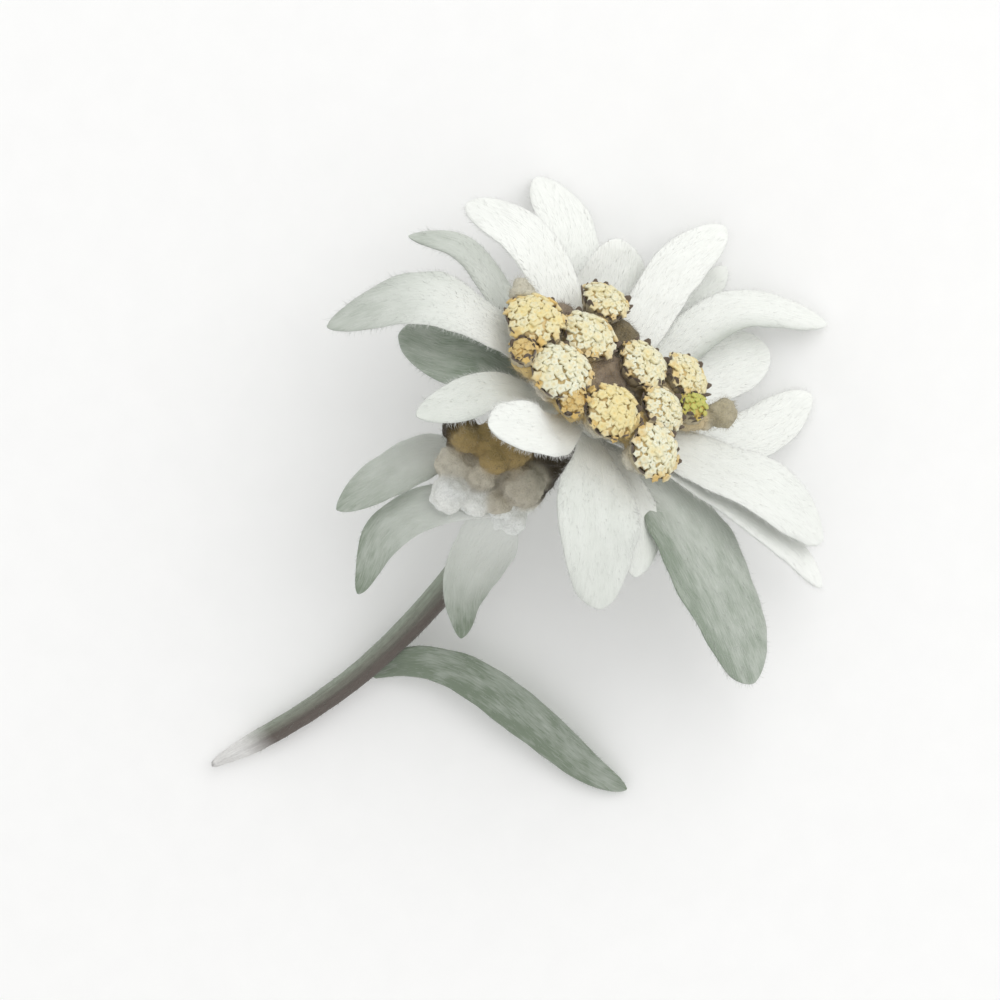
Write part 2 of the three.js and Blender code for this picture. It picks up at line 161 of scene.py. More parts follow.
BRACTS = [
    Blade(TOP_LAYER, 6.9, 0.66, 2.4, 0.06, (0.05, 0.05, 0.1),
          [(8.5, 176, -1.1), (13.4, 170, 2.0), (20.3, 162, 3.6)]),
    Blade(SECOND_LAYER, 4.8, 0.62, 2.4, 0.08, (0.2, 0.25, 0.3),
          [(13.3, 138, -2.3), (18.6, 146, -1.8), (24.2, 149, -2.2)]),
    Blade(TOP_LAYER, 7.1, 0.58, 1.8, 0.04, (0.0, 0.1, 0.7),
          [(13.9, 105.5, -1.6), (24.7, 118.5, 1.3), (31.9, 124, -6.0)], edge=-0.2),
    Blade(THIRD_LAYER, 10.0, 0.6, 2.4, 0.04, (0.65, 0.9, 0.8),
          [(13.6, 112.5, -5.1), (18.2, 116, -6.2), (23.0, 116, -6.9)]),
    Blade(SECOND_LAYER, 4.7, 0.52, 1.8, 0.04, (0.05, 0.35, 0.6),
          [(15.0, 83.2, -3.3), (23.1, 87.7, -1.5), (28.1, 94, -3.2)]),
    Blade(TOP_LAYER, 7.4, 0.68, 3.2, 0.05, (0.0, 0.0, 0.05),
          [(12.1, 58.5, -1.6), (20.5, 67.5, 0.0), (27.7, 73.5, -2.7)], fullness=1.9),
    Blade(LOW_LAYER, 7.6, 0.58, 4.0, 0.04, (0.0, 0.0, 0.0),
          [(13.9, 42.7, -6.4), (23.8, 42, -4.4), (32.1, 47.5, -5.4)]),
    Blade(THIRD_LAYER, 9.8, 0.64, 2.8, 0.04, (0.0, 0.0, 0.0),
          [(10.0, 30, -4.3), (16.0, 30.5, -2.1), (20.8, 34.5, 1.6)]),
    Blade(TOP_LAYER, 6.2, 0.6, 2.7, 0.07, (0.0, 0.0, 0.0),
          [(11.1, 13, -1.3), (20.1, 13.5, 2.8), (27.5, 9, 5.6)]),
    Blade(LOW_LAYER, 5.0, 0.62, 2.4, 0.06, (0.3, 0.1, 0.05),
          [(13.0, -2, -5.5), (21.0, 1.5, -1.9), (26.7, 2, 1.8)]),
    Blade(SECOND_LAYER, 5.3, 0.48, 2.8, 0.06, (0.1, 0.1, 0.05),
          [(11.0, -8.2, -2.6), (21.7, -9.1, 3.0), (31.3, -22.3, 4.9)], edge=-0.5),
    Blade(THIRD_LAYER, 8.8, 0.62, 3.2, 0.04, (0.0, 0.0, 0.0),
          [(11.1, -21.5, -4.5), (18.2, -20, -2.5), (25.8, -21, 0.1)]),
    Blade(LOW_LAYER, 5.9, 0.64, 3.2, 0.05, (0.0, 0.0, 0.0),
          [(13.0, -47, -6.2), (22.0, -42.6, -4.3), (30.3, -33.3, -1.2)]),
    Blade(TOP_LAYER, 8.4, 0.6, 2.8, 0.06, (0.15, 0.12, 0.08),
          [(12.2, -70.5, -1.4), (22.3, -70.5, 0.7), (31.4, -68.5, -2.3)], stain=1.0),
    Blade(SECOND_LAYER, 5.3, 0.7, 2.2, 0.05, (0.1, 0.05, 0.0),
          [(12.0, -77.6, -2.5), (24.2, -76.3, -1.5), (34.5, -73.7, -5.8)]),
    Blade(LOW_LAYER, 12.9, 0.6, 2.8, 0.05, (0.0, 0.65, 0.85),
          [(11.8, -87.5, -5.2), (23.8, -96.6, -5.8), (35.6, -98, -9.6)], fullness=1.9, edge=-0.7, twist=-8),
    Blade(THIRD_LAYER, 6.4, 0.6, 2.2, 0.03, (0.05, 0.1, 0.1),
          [(7.0, -110, -4.8), (13.1, -111.5, -4.9), (19.6, -119.5, -6.7)]),
    Blade(SECOND_LAYER, 10.4, 0.58, 3.0, -0.03, (0.1, 0.3, 0.3),
          [(8.6, -140.3, -2.1), (16.9, -144, -0.2), (24.7, -137.4, -5.1)]),
]
# Their root tint whitens their roots: painted light against the shade of the star above. Their edge values paint
# shade along one side.
LOWER_LEAVES = [
    Blade(-20.0, 5.3, 0.6, 2.0, 0.06, (0.0, 0.2, 0.8),
          [(-5.7, 7.9, -20.5), (-13.7, 10.2, -20.8), (-21.0, 11.4, -22.5)], fullness=0.4, edge=0.25, stain=1.0),
    Blade(-21.6, 5.2, 0.52, 1.7, 0.06, (0.0, 0.4, 0.9),
          [(-9.5, 3.8, -22.1), (-16.4, 5.8, -24.4), (-21.9, 2.9, -29.0)], fullness=0.4, edge=-0.25, stain=1.0),
    Blade(-22.4, 7.4, 0.22, 1.45, 0.05, (0.0, 0.3, 1.0),
          [(-7.0, -3.4, -25.9), (-11.4, -5.1, -27.5), (-15.5, -8.9, -28.8)], fullness=0.4, edge=0.2, stain=0.3),
]
# Its edge value paints shade along one side.
STEM_LEAF = Blade(None, 5.2, 0.57, 2.4, 0.08, (1.0, 0.85, 0.85),
                  [(-11.2, -5.0, -49.2), (-6.9, -9.5, -35.7), (-6.9, -26.0, -42.9), (-3.4, -35.8, -40.2)],
                  fullness=0.8, edge=-0.4, stain=0)
MIDRIB_THICKNESS = 1.0
EDGE_THICKNESS = 0.62
TIP_THINNING = 0.05  # the last share of the length, where a blade thins out
LEAST_WIDTH = 0.3
ROOT_WIDTH = 1.9
ROOT_RADIUS = 1.2  # how far from the stem's centre line a blade starts
EDGE_WAVE = 0.22
EDGE_WAVES = 1.6
WAVE_SHIFT = 2.4
UPWARD = (0, 0, 1)
# The furrow over the midrib, the ridge under it, and the same for a vein on each side of it.
FURROW_WIDTH, FURROW_DEPTH, RIDGE_DEPTH = 0.5, 0.2, 0.3
VEIN_WIDTH, VEIN_DEPTH, VEIN_RIDGE = 0.4, 0.07, 0.1
VEIN_PLACE = 0.27  # share of the breadth that a vein is away from the midrib
BARE_BELOW = 0.15  # how much less wool there is on the underside
STAIN_LENGTH = 13  # how far the tint at a blade's root reaches
HAIR_START = 4  # how far from its root the hairs have come up to their full density

# The side buds: centre, radius, and the colour of their wool. The brown bud is painted deep shade under the star, and
# the olive buds are darkened as painted shade.
BUDS = [
    (-8.2, 6.2, -17.0, 1.9, "stain"),
    (-7.4, 3.2, -15.8, 1.6, "beige"),
    (-5.0, -1.2, -14.6, 2.3, "beige"),
    (-6.9, -0.6, -17.8, 1.4, "beige"),
    (-10.4, 4.0, -18.8, 2.0, "pale"),
    (-8.2, 1.2, -19.2, 1.6, "pale"),
    (-6.5, 8.2, -14.4, 1.9, "brown"),
    (-7.7, 7.2, -13.4, 1.5, "olive"),
    (-7.0, 3.1, -13.1, 1.4, "olive"),
    (-5.5, 5.3, -13.4, 1.9, "olive"),
    (-4.6, 2.5, -12.4, 1.9, "olive"),
]
BUD_STALK_FOOT = 14
BUD_STALK_RADIUS = 1.2
BUD_WOOL = 1.1  # radius of a bud with its wool, as a share of the bud's own

# Lumps of wool between the heads and beside them: centre, radius and colour. The mauve and moss lumps are painted
# shade in the gaps between the heads.
WOOL_LUMPS = [
    (1.4, 1.6, 0.6, 2.7, "mauve"),
    (-1.9, 1.4, 0.5, 2.5, "mauve"),
    (-1.9, 4.2, 0.9, 2.2, "ochre"),
    (7.4, 3.8, 0.6, 2.1, "moss"),
    (3.7, 9.6, 0.2, 1.8, "mauve"),
    (-2.4, 8.5, 1.2, 1.9, "tan"),
    (5.4, -4.1, 0.8, 2.0, "tan"),
    (-0.9, -5.6, 0.9, 2.3, "ochre"),
    (-5.8, 1.8, 1.2, 2.0, "ochre"),
    (-6.4, 8.5, 1.2, 1.8, "ochre"),
    (6.4, -8.2, 0.9, 2.0, "tan"),
    (-0.2, 14.6, 2.0, 1.5, "grey"),
    (9.2, -10.9, 2.2, 1.6, "drab"),
]
# Small heads that are only half open: the middle of the foot, radius, outward tilt, and the colour of the flowers.
YOUNG_HEADS = [
    (-5.7, 1.6, 1.0, 1.9, 35, "ochre"),
    (-6.5, 8.8, 1.2, 1.7, 35, "ochre"),
    (6.0, -8.2, 1.0, 1.9, -12, "young"),
]
YOUNG_CUP = 1.1  # height of their cups and of their flowers, as shares of the radius
YOUNG_CUSHION = 0.5
LUMP_STALK_RADIUS = 1.1
LUMP_FLATNESS = 0.75
AXIL_WOOL = [(-3.8, -3.2, -21.6, 1.6, "pale"), (-4.4, -0.6, -20.4, 1.9, "pale"), (-2.0, -3.4, -23.6, 1.4, "pale")]
MOUND = (0.6, 0.8, -1.6, 5.4)  # the woolly cushion that the heads stand on: centre and radius
MOUND_FLATNESS = 0.5
# The colour of the wool between the lumps, from the bottom of the neck up: height and colour. The near-black brown
# band from -17 to -4.5, under the star, is painted deep shade.
CORE_TONES = [
    (-26, "pale"), (-20.5, "pale"), (-19, "beige"), (-17, "brown"),
    (-4.5, "brown"), (-3.0, "wool"), (0.5, "stain"), (2.5, "ochre"),
]

AIM_HEIGHT = 4.5  # the height on the flower's axis that the camera and the lamp are set to
OFF_CENTRE = 125 / 9  # how far right and up of the middle of the view it is
LENS = 145.8
SENSOR_WIDTH = 36
LAMP_WAY = (0.35, 0.4, 0.85)  # to the right, up and towards the camera
FLOOR_REACH = 3  # from the middle of the floor to its edges, in metres

# ---------------------------------------------------------------- the finish of the mesh

BLADE_ROWS = 46
BLADE_ACROSS = 15
ROW_CROWDING = 1.6  # the higher, the closer the rows are at the tip
STEM_ROWS = 110
STEM_SIDES = 30
NECK_GRAIN = 0.26  # size of the grains that the neck's lumps are joined in


def linear(hex_value):
    """A linear colour from an sRGB hex value."""
    shares = [int(hex_value[i:i + 2], 16) / 255 for i in (0, 2, 4)]
    return (*(c / 12.92 if c <= 0.04045 else ((c + 0.055) / 1.055) ** 2.4 for c in shares), 1)


def setting(name, description, default, kind=bpy.props.FloatProperty, **limits):
    """A value that a user can change."""
    return kind(name=name, description=description, default=default, **limits)


def count_setting(name, description, default, least):
    """A whole number that a user can change."""
    return setting(name, description, default, bpy.props.IntProperty, min=least)


def length_setting(name, description, default):
    """A length in metres that a user can change."""
    return setting(name, description, default, min=0, unit="LENGTH", precision=5)


def colour_setting(name, description, hex_value):
    """A colour that a user can change."""
    kind = bpy.props.FloatVectorProperty
    return setting(name, description, linear(hex_value), kind, min=0, max=1, size=4, subtype="COLOR")


class EdelweissWool(bpy.types.PropertyGroup):
    """How the wool grows."""

    length: length_setting("Hair length", "Length of the longest wool hairs on the bracts", 0.001)
    radius: length_setting("Hair radius", "Radius of a tuft of hairs at its root", 0.000024)
    density: setting("Hairs per mm2", "Tufts of hair on a square millimetre at the edge of a bract", 24.0, min=0)
    lift: setting("Lift", "How far the hairs stand off the surface", 0.12, min=0, max=2)
    tangle: setting("Tangle", "How far the hairs stray from the way the wool lies", 0.35, min=0, max=2)
    seed: count_setting("Seed", "Start of the random draw of hairs", 3, 0)


class EdelweissHeads(bpy.types.PropertyGroup):
    """The flower heads."""

    florets: count_setting("Florets", "Tiny flowers on a head", 56, 3)
    floret_size: length_setting("Floret size", "Radius of one tiny flower", 0.00048)
    scales: count_setting("Scales", "Scales in one ring of a head's cup", 13, 3)
    scale_length: length_setting("Scale length", "Length of one scale of a cup", 0.0021)
    scale_width: length_setting("Scale width", "Width of one scale of a cup", 0.0011)


class EdelweissColours(bpy.types.PropertyGroup):
    """The colours of the plant."""

    wool: colour_setting("Wool", "Dense white wool of the bracts", "F3F5F0")
    hair: colour_setting("Hair", "Single hairs and tufts", "FCFCFA")
    # Mixed in by the bare values, this grey-green is also painted shade on the bracts in shadow.
    green: colour_setting("Leaf under thin wool", "Grey-green of the leaf where the wool is thin", "808D7B")
    # On the bracts this root tint is partly painted shade beside the heads.
    stain: colour_setting("Old wool", "Yellowed wool at the roots of the bracts", "DDD7C6")
    felt: colour_setting("Felt", "Felt on the lower leaves", "EEF1EC")
    leaf: colour_setting("Lower leaf", "Lower leaves where the felt is thin", "7D8977")
    stem: colour_setting("Stem", "Skin of the stem", "625952")
    # Along one side of the stem this grey is laid on more heavily as painted light.
    stem_light: colour_setting("Stem wool", "Grey-green wool along the stem", "97A090")
    pith: colour_setting("Cut end", "Dry pith at the cut", "E9E8E5")
    beige: colour_setting("Beige wool", "Wool of the side buds", "D2CBB9")
    # This near-black brown is painted deep shade under the star.
    brown: colour_setting("Brown wool", "Nearly black brown wool under the star", "2E240C")
    # This colour is darkened as painted shade on the underside of the star.
    olive: colour_setting("Olive wool", "Olive-brown wool of the highest side buds", "AF9763")
    pale: colour_setting("Pale wool", "Greenish white wool of the lowest buds", "FCFEFB")
    # This colour and the next are painted shade in the gaps between the heads.
    mauve: colour_setting("Mauve wool", "Mauve-brown wool in the middle of the flower", "8C7D6E")
    moss: colour_setting("Moss wool", "Olive grey wool between the heads", "6C624B")
    tan: colour_setting("Tan wool", "Light brown wool between the heads", "CDBC96")
    ochre: colour_setting("Ochre wool", "Yellow-brown wool between the heads", "D6BC7C")
    drab: colour_setting("Drab wool", "Grey-brown lump of wool beside the heads", "ACA690")
    grey: colour_setting("Grey wool", "Grey lump of wool beside the heads", "C6C4B6")
    floret: colour_setting("Floret", "Cream tops of the tiny flowers", "EBEBD3")
    floret_warm: colour_setting("Floret, warm", "Yellow flowers among the cream ones", "EADCA2")
    # The rim colour also lies down the tubes and in the throats of all the flowers as painted shade.
    rim: colour_setting("Rim", "Ochre outer flowers of a head", "D9B565")
    young: colour_setting("Young floret", "Yellow-green flowers that have not opened", "BFC062")
    scale: colour_setting("Scale", "Woolly part of a cup's scale", "C2B594")
    scale_tip: colour_setting("Scale tip", "Dry brown tip of a cup's scale", "64574A")


class EdelweissStage(bpy.types.PropertyGroup):
    """The floor, the lights and the camera."""

    floor: colour_setting("Floor", "Plain pale floor", "FBFBFA")
    key: setting("Key light", "Power of the main lamp", 11.6, unit="POWER")
    key_size: length_setting("Key size", "Width of the main lamp: a wide one casts soft shadows", 1.6)
    key_distance: length_setting("Key distance", "From the main lamp to the flower", 1.6)
    fill: setting("Fill", "Strength of the light from all round", 0.77)
    camera_height: setting("Camera elevation", "Angle of the view above the floor", math.radians(78), unit="ROTATION")
    camera_roll: setting("Camera roll", "Turn about the line of sight", math.radians(43.58), unit="ROTATION")
    distance: length_setting("Camera distance", "From the camera to the flower", 0.45)


class EdelweissSettings(bpy.types.PropertyGroup):
    """All settings of the edelweiss."""

    wool: bpy.props.PointerProperty(type=EdelweissWool)
    heads: bpy.props.PointerProperty(type=EdelweissHeads)
    colours: bpy.props.PointerProperty(type=EdelweissColours)
    stage: bpy.props.PointerProperty(type=EdelweissStage)


# ---------------------------------------------------------------- shapes, in the plant's frame

PLANT = (
    Matrix.Translation(Vector(PLACE) * MM)
    @ Matrix.Rotation(math.radians(ROLL), 4, "X")
    @ Matrix.Rotation(math.radians(LEAN), 4, "Y")
    @ Matrix.Scale(MM, 4)
)


def laid(points):
    """Points of the plant, in mm, where they lie in the part, in metres."""
    m = np.array(PLANT)
    return np.asarray(points) @ m[:3, :3].T + m[:3, 3]


def laid_ways(ways):
    """Directions in the plant, turned as the plant lies."""
    return unit(np.asarray(ways) @ np.array(PLANT)[:3, :3].T)


def unit(vectors):
    """Vectors brought to length 1."""
    return vectors / np.maximum(np.linalg.norm(vectors, axis=-1, keepdims=True), 1e-12)


def polar(radius, azimuth, z):
    """A point at a distance from the flower's axis, an azimuth and a height."""
    a = math.radians(azimuth)
    return (radius * math.cos(a), radius * math.sin(a), z)


def ruffle(points, size, seed):
    """Smooth noise from -1 to 1 at each point, with lumps of about that size."""
    flat = np.asarray(points).reshape(-1, 3) / size + seed
    values = [noise.noise(Vector(p)) for p in flat]
    return np.array(values).reshape(np.asarray(points).shape[:-1])


def stem_point(distance):
    """The stem's centre line, at a distance down it from the origin."""
    pieces = 60
    step = distance / pieces
    left = 1 - (np.arange(pieces) + 0.5) * step / STEM_LENGTH
    bend = math.radians(STEM_BEND) * (1 - left ** STEM_BEND_POWER)
    bow = -STEM_BOW * math.sin(math.pi * (max(distance, 0) / STEM_LENGTH) ** STEM_BOW_POWER)
    return np.array((-np.sin(bend).sum() * step, bow, -np.cos(bend).sum() * step))


def stem_frame(distance):
    """A place on the stem, the way down it, and the two ways across it."""
    at = stem_point(distance)
    down = unit(at - stem_point(distance - 1))
    side = unit(np.array((0, 1, 0)) - down * down[1])
    return at, down, side, np.cross(side, down)


def round_ring(centre, across, other, radius, sides):
    """A ring of points round a centre."""
    angles = 2 * math.pi * np.arange(sides) / sides
    radius = np.broadcast_to(radius, sides)
    return centre + np.outer(radius * np.cos(angles), across) + np.outer(radius * np.sin(angles), other)


def curve_through(points):
    """A centripetal curve through the points, as closely spaced places."""
    p = np.array(points, float)
    p = np.vstack([2 * p[0] - p[1], p, 2 * p[-1] - p[-2]])
    w = np.linspace(0, 1, 41)[1:, None]
    runs = [p[1:2]]
    for a, b, c, d in zip(p, p[1:], p[2:], p[3:]):
        s, t, u = (math.sqrt(np.linalg.norm(y - x)) for x, y in ((a, b), (b, c), (c, d)))
        m = ((b - a) / s - (c - a) / (s + t) + (c - b) / t) * t
        n = ((c - b) / t - (d - b) / (t + u) + (d - c) / u) * t
        runs.append(b + m * w + (3 * c - 3 * b - 2 * m - n) * w ** 2 + (2 * b - 2 * c + m + n) * w ** 3)
    return np.vstack(runs)


def bezier(points, steps=80):
    """A curve from two ends and two handles, as closely spaced places."""
    a, b, c, d = np.array(points, float)
    t = np.linspace(0, 1, steps + 1)[:, None]
    return a * (1 - t) ** 3 + 3 * b * t * (1 - t) ** 2 + 3 * c * t ** 2 * (1 - t) + d * t ** 3


def at_shares(curve, shares):
    """Places and directions at shares of a curve's length, and that length."""
    run = np.concatenate([[0], np.cumsum(np.linalg.norm(np.diff(curve, axis=0), axis=1))])
    slope = np.gradient(curve, run, axis=0)
    place = np.stack([np.interp(shares * run[-1], run, curve[:, k]) for k in range(3)], 1)
    way = np.stack([np.interp(shares * run[-1], run, slope[:, k]) for k in range(3)], 1)
    return place, unit(way), run[-1]


def midrib(points, root_height):
    """The midrib of a blade that grows out of the neck at a height."""
    root = stem_point(-root_height)
    root[2] = root_height
    out = np.array(points[0]) - root
    out[2] = 0
    return curve_through([root + unit(out) * ROOT_RADIUS, *points])


# ---------------------------------------------------------------- meshes


def store(mesh, values, kind, field):
    """Keeps named values on a mesh's points."""
    for key, value in values.items():
        mesh.attributes.new(key, kind, "POINT").data.foreach_set(field, np.asarray(value, np.float32).ravel())


def closed_mesh(name, points, faces):
    """A closed smooth mesh with its faces turned outwards."""
    mesh = bpy.data.meshes.new(name)
    mesh.from_pydata(points.tolist(), [], faces)
    work = bmesh.new()
    work.from_mesh(mesh)
    bmesh.ops.recalc_face_normals(work, faces=work.faces)
    work.to_mesh(mesh)
    work.free()
    mesh.shade_smooth()
    return mesh


def mesh_of(name, points, faces, numbers=None, vectors=None, tones=None):
    """A closed mesh in the part's frame from points of the plant, with named values on its points."""
    mesh = closed_mesh(name, laid(points), faces)
    store(mesh, numbers or {}, "FLOAT", "value")
    store(mesh, vectors or {}, "FLOAT_VECTOR", "vector")
    store(mesh, tones or {}, "FLOAT_COLOR", "color")
    return mesh


def ring_faces(rows, sides):
    """Faces of a closed tube of rings, whose ends are closed by one point each, put after the rings."""
    faces = []
    for i in range(rows - 1):
        for j in range(sides):
            k = (j + 1) % sides
            faces.append((i * sides + j, i * sides + k, (i + 1) * sides + k, (i + 1) * sides + j))
    last = (rows - 1) * sides
    for j in range(sides):
        k = (j + 1) % sides
        faces.append((k, j, rows * sides))
        faces.append((last + j, last + k, rows * sides + 1))
    return faces


def capped(rings):
    """The points of a tube of rings, or values on them, and then the mean of its first and of its last ring."""
    rows = rings.reshape(rings.shape[0] * rings.shape[1], -1)
    return np.vstack([rows, np.reshape([rings[0].mean(0), rings[-1].mean(0)], (2, -1))])


def piece(name, mesh, slot, *nodes):
    """An object that rides on the part and stands for some of its nodes."""
    made = bpy.data.objects.new(name, mesh)
    bpy.context.scene.collection.objects.link(made)
    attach(made, "root")
    if nodes:
        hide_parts(*nodes)
    return made


def blade_mesh(name, curve, blade, face, phase, light, dark):
    """A leaf blade with a furrowed upper side, a raised midrib below and soft thin edges."""
    shares = 1 - (1 - np.linspace(0, 1, BLADE_ROWS)) ** ROW_CROWDING
    place, way, length = at_shares(curve, shares)
    side = unit(np.cross(np.broadcast_to(face, way.shape), way))
    turn = np.radians(blade.twist * shares)[:, None]
    side = side * np.cos(turn) + np.cross(way, side) * np.sin(turn)
    up = np.cross(way, side)

    belly, width = blade.belly, blade.width
    root = ROOT_WIDTH / width
    rise = root + (1 - root) * np.sin(math.pi / 2 * np.minimum(shares / belly, 1)) ** blade.fullness
    beyond = np.clip((shares - belly) / (1 - belly), 0, 1)
    fall = (1 - beyond ** blade.blunt) ** 0.6
    breadth = np.maximum(LEAST_WIDTH, width * np.where(shares < belly, rise, fall))

    u = np.sin(np.linspace(-math.pi / 2, math.pi / 2, BLADE_ACROSS))
    u = np.concatenate([u, u[-2:0:-1]])
    upper = np.concatenate([np.ones(BLADE_ACROSS), -np.ones(BLADE_ACROSS - 2)])
    t, b = shares[:, None], breadth[:, None]
    outline = np.stack([t * length + 0 * u, 40 * np.sign(u) + 0 * t, phase + 0 * t * u], -1)
    ragged = 1 + 0.07 * ruffle(outline, 2.6, 5) + 0.08 * ruffle(outline, 7, 2)
    x = u * b / 2 * ragged
    edge = np.sqrt(np.maximum(0, 1 - np.abs(u) ** 5))
    end = np.sqrt(np.clip((1 - t) / TIP_THINNING, 0.04, 1))
    half = (EDGE_THICKNESS + (MIDRIB_THICKNESS - EDGE_THICKNESS) * (1 - t) * (1 - u ** 2)) / 2 * edge * end
    wave = EDGE_WAVE * (b / width) * u ** 3 * np.sin(2 * math.pi * EDGE_WAVES * t + phase)
    furrow = np.exp(-(x / FURROW_WIDTH) ** 2) * (1 - t) ** 0.5 * edge
    veins = np.exp(-((np.abs(x) - VEIN_PLACE * b) / VEIN_WIDTH) ** 2) * (1 - t) ** 0.5 * edge
    lift = blade.cup * b * u ** 2 + wave + upper * half
    lift = lift - np.where(upper > 0, FURROW_DEPTH, RIDGE_DEPTH) * furrow
    lift = lift - np.where(upper > 0, VEIN_DEPTH, VEIN_RIDGE) * veins
    rings = place[:, None] + side[:, None] * x[..., None] + up[:, None] * lift[..., None]
    lumps = 0.16 * ruffle(rings, 3.2, phase) + 0.07 * ruffle(rings, 1.1, phase + 7)
    rings = rings + up[:, None] * (lumps * edge)[..., None]

    # The bare value thins the wool to grey-green; on bracts in shadow it paints their shade.
    bare = np.interp(shares, (0, 0.5, 1), blade.bare)[:, None]
    # Painted shade along one edge, drawn as thin wool.
    painted_shade_side = np.clip(u * np.sign(blade.edge), 0, 1) ** 2
    bare = bare + abs(blade.edge) * painted_shade_side * np.sin(math.pi * np.clip(t, 0, 1))
    bare = np.clip(np.where(upper > 0, bare, bare + BARE_BELOW), 0, 1)
    # The root tint: on bracts partly yellowed wool and partly painted shade beside the heads, on the lower leaves
    # white painted light.
    stain = blade.stain * np.clip(1 - t * length / STAIN_LENGTH, 0, 1) ** 1.5 * np.ones_like(u)
    wool = (0.15 + 0.85 * np.abs(u) ** 6) * (1 - 0.6 * bare) * np.clip(t * length / HAIR_START, 0, 1)
    flow = way[:, None] + side[:, None] * (0.25 * u + 0.9 * np.sign(u) * np.abs(u) ** 8)[:, None]
    grain = np.stack([x + 23 * phase, np.broadcast_to(t * length, x.shape), np.broadcast_to(upper * 5, x.shape)], -1)

    numbers = {"bare": capped(bare), "stain": capped(stain), "wool": capped(wool)}
    vectors = {"flow": laid_ways(capped(flow)), "grain": capped(grain)}
    # The hairs grey with the bare value, so they carry its painted shade too.
    tones = {"hair": np.array(light) + (np.array(dark) - light) * 0.6 * numbers["bare"]}
    return mesh_of(name, capped(rings), ring_faces(len(shares), len(u)), numbers, vectors, tones)


def joined_lumps(name, bodies):
    """Closed bodies, as rings of points, grown into one lumpy body."""
    points = []
    faces = []
    for rings in bodies:
        start = sum(len(p) for p in points)
        points.append(capped(rings))
        faces += [tuple(start + i for i in f) for f in ring_faces(*rings.shape[:2])]
    lumps = bpy.data.objects.new(name, mesh_of(name, np.vstack(points), faces))
    bpy.context.scene.collection.objects.link(lumps)
    grains = lumps.modifiers.new("Grains", "REMESH")
    grains.mode = "VOXEL"
    grains.voxel_size = NECK_GRAIN * MM
    soft = lumps.modifiers.new("Soft", "SMOOTH")
    soft.factor = 0.5
    soft.iterations = 4
    mesh = bpy.data.meshes.new_from_object(lumps.evaluated_get(bpy.context.evaluated_depsgraph_get()))
    bpy.data.objects.remove(lumps)
    return mesh


def ball(x, y, z, radius, flatness=1):
    """A ball, or a flatter lump, as rings of points."""
    rows = []
    for angle in np.linspace(0.15, math.pi - 0.15, 9):
        centre = np.array((x, y, z - radius * flatness * math.cos(angle)))
        rows.append(round_ring(centre, np.array((1, 0, 0)), np.array((0, 1, 0)), radius * math.sin(angle), 14))
    return np.array(rows)


def stalk(curve, radius):
    """A round stalk along closely spaced places."""
    place, way, _ = at_shares(curve, np.linspace(0, 1, 9))
    rows = []
    for centre, along in zip(place, way):
        across = unit(np.array((along[1], -along[0], 1e-3)))
        rows.append(round_ring(centre, across, np.cross(along, across), radius, 12))
    return np.array(rows)


# ---------------------------------------------------------------- node trees

MATH = "ShaderNodeMath"
VECTOR = "ShaderNodeVectorMath"
RANDOM = "FunctionNodeRandomValue"
MIX = "ShaderNodeMix"


def add(tree, kind, links=(), **settings):
    """Adds a node with its settings.

    links gives its inputs in order, or by name or number. Each is a value, the node or socket that it comes from,
    or a list of nodes where the input takes several.
    """
    made = tree.nodes.new(kind)
    for name, value in settings.items():
        setattr(made, name, value)
    for key, given in links.items() if isinstance(links, dict) else enumerate(links):
        for value in given if isinstance(given, list) else [given]:
            if isinstance(value, bpy.types.Node):
                value = next(out for out in value.outputs if out.enabled)
            if isinstance(value, bpy.types.NodeSocket):
                tree.links.new(value, made.inputs[key])
            else:
                made.inputs[key].default_value = value
    return made


def new_tree(name, *sizes):
    """A geometry tree with inputs for its sizes, seed and material, and what adds nodes to it."""
    tree = bpy.data.node_groups.new(name, "GeometryNodeTree")
    tree.is_modifier = True
    for way in ("OUTPUT", "INPUT"):
        tree.interface.new_socket("Geometry", in_out=way, socket_type="NodeSocketGeometry")
    kinds = {"Count": "Int", "Seed": "Int", "Material": "Material"}
    for key in (*sizes, "Seed", "Material"):
        tree.interface.new_socket(key, in_out="INPUT", socket_type="NodeSocket" + kinds.get(key, "Float"))
    node = partial(add, tree)
    return tree, node, node("NodeGroupInput").outputs


def end_tree(node, geometry, material):
    """Ends a tree in plain smooth faces of one material."""
    real = node("GeometryNodeRealizeInstances", (geometry,))
    smooth = node("GeometryNodeSetShadeSmooth", (real,))
    painted = node("GeometryNodeSetMaterial", {0: smooth, 2: material})
    node("NodeGroupOutput", (painted,))


def grown(name, tree, values, start):
    """The plain mesh that a tree makes from another."""
    holder = bpy.data.objects.new(name, start.copy())
    bpy.context.scene.collection.objects.link(holder)
    sockets = {s.name: s.identifier for s in tree.interface.items_tree if s.in_out == "INPUT"}
    nodes = holder.modifiers.new("Growth", "NODES")
    nodes.node_group = tree
    for key, value in values.items():
        nodes[sockets[key]] = value
    graph = bpy.context.evaluated_depsgraph_get()
    whole = holder.evaluated_get(graph)
    mesh = bpy.data.meshes.new_from_object(whole, preserve_all_data_layers=True, depsgraph=graph)
    bpy.data.objects.remove(holder)
    if not mesh.polygons:
        raise RuntimeError("the tree made nothing for " + name)
    mesh.name = name
    return mesh


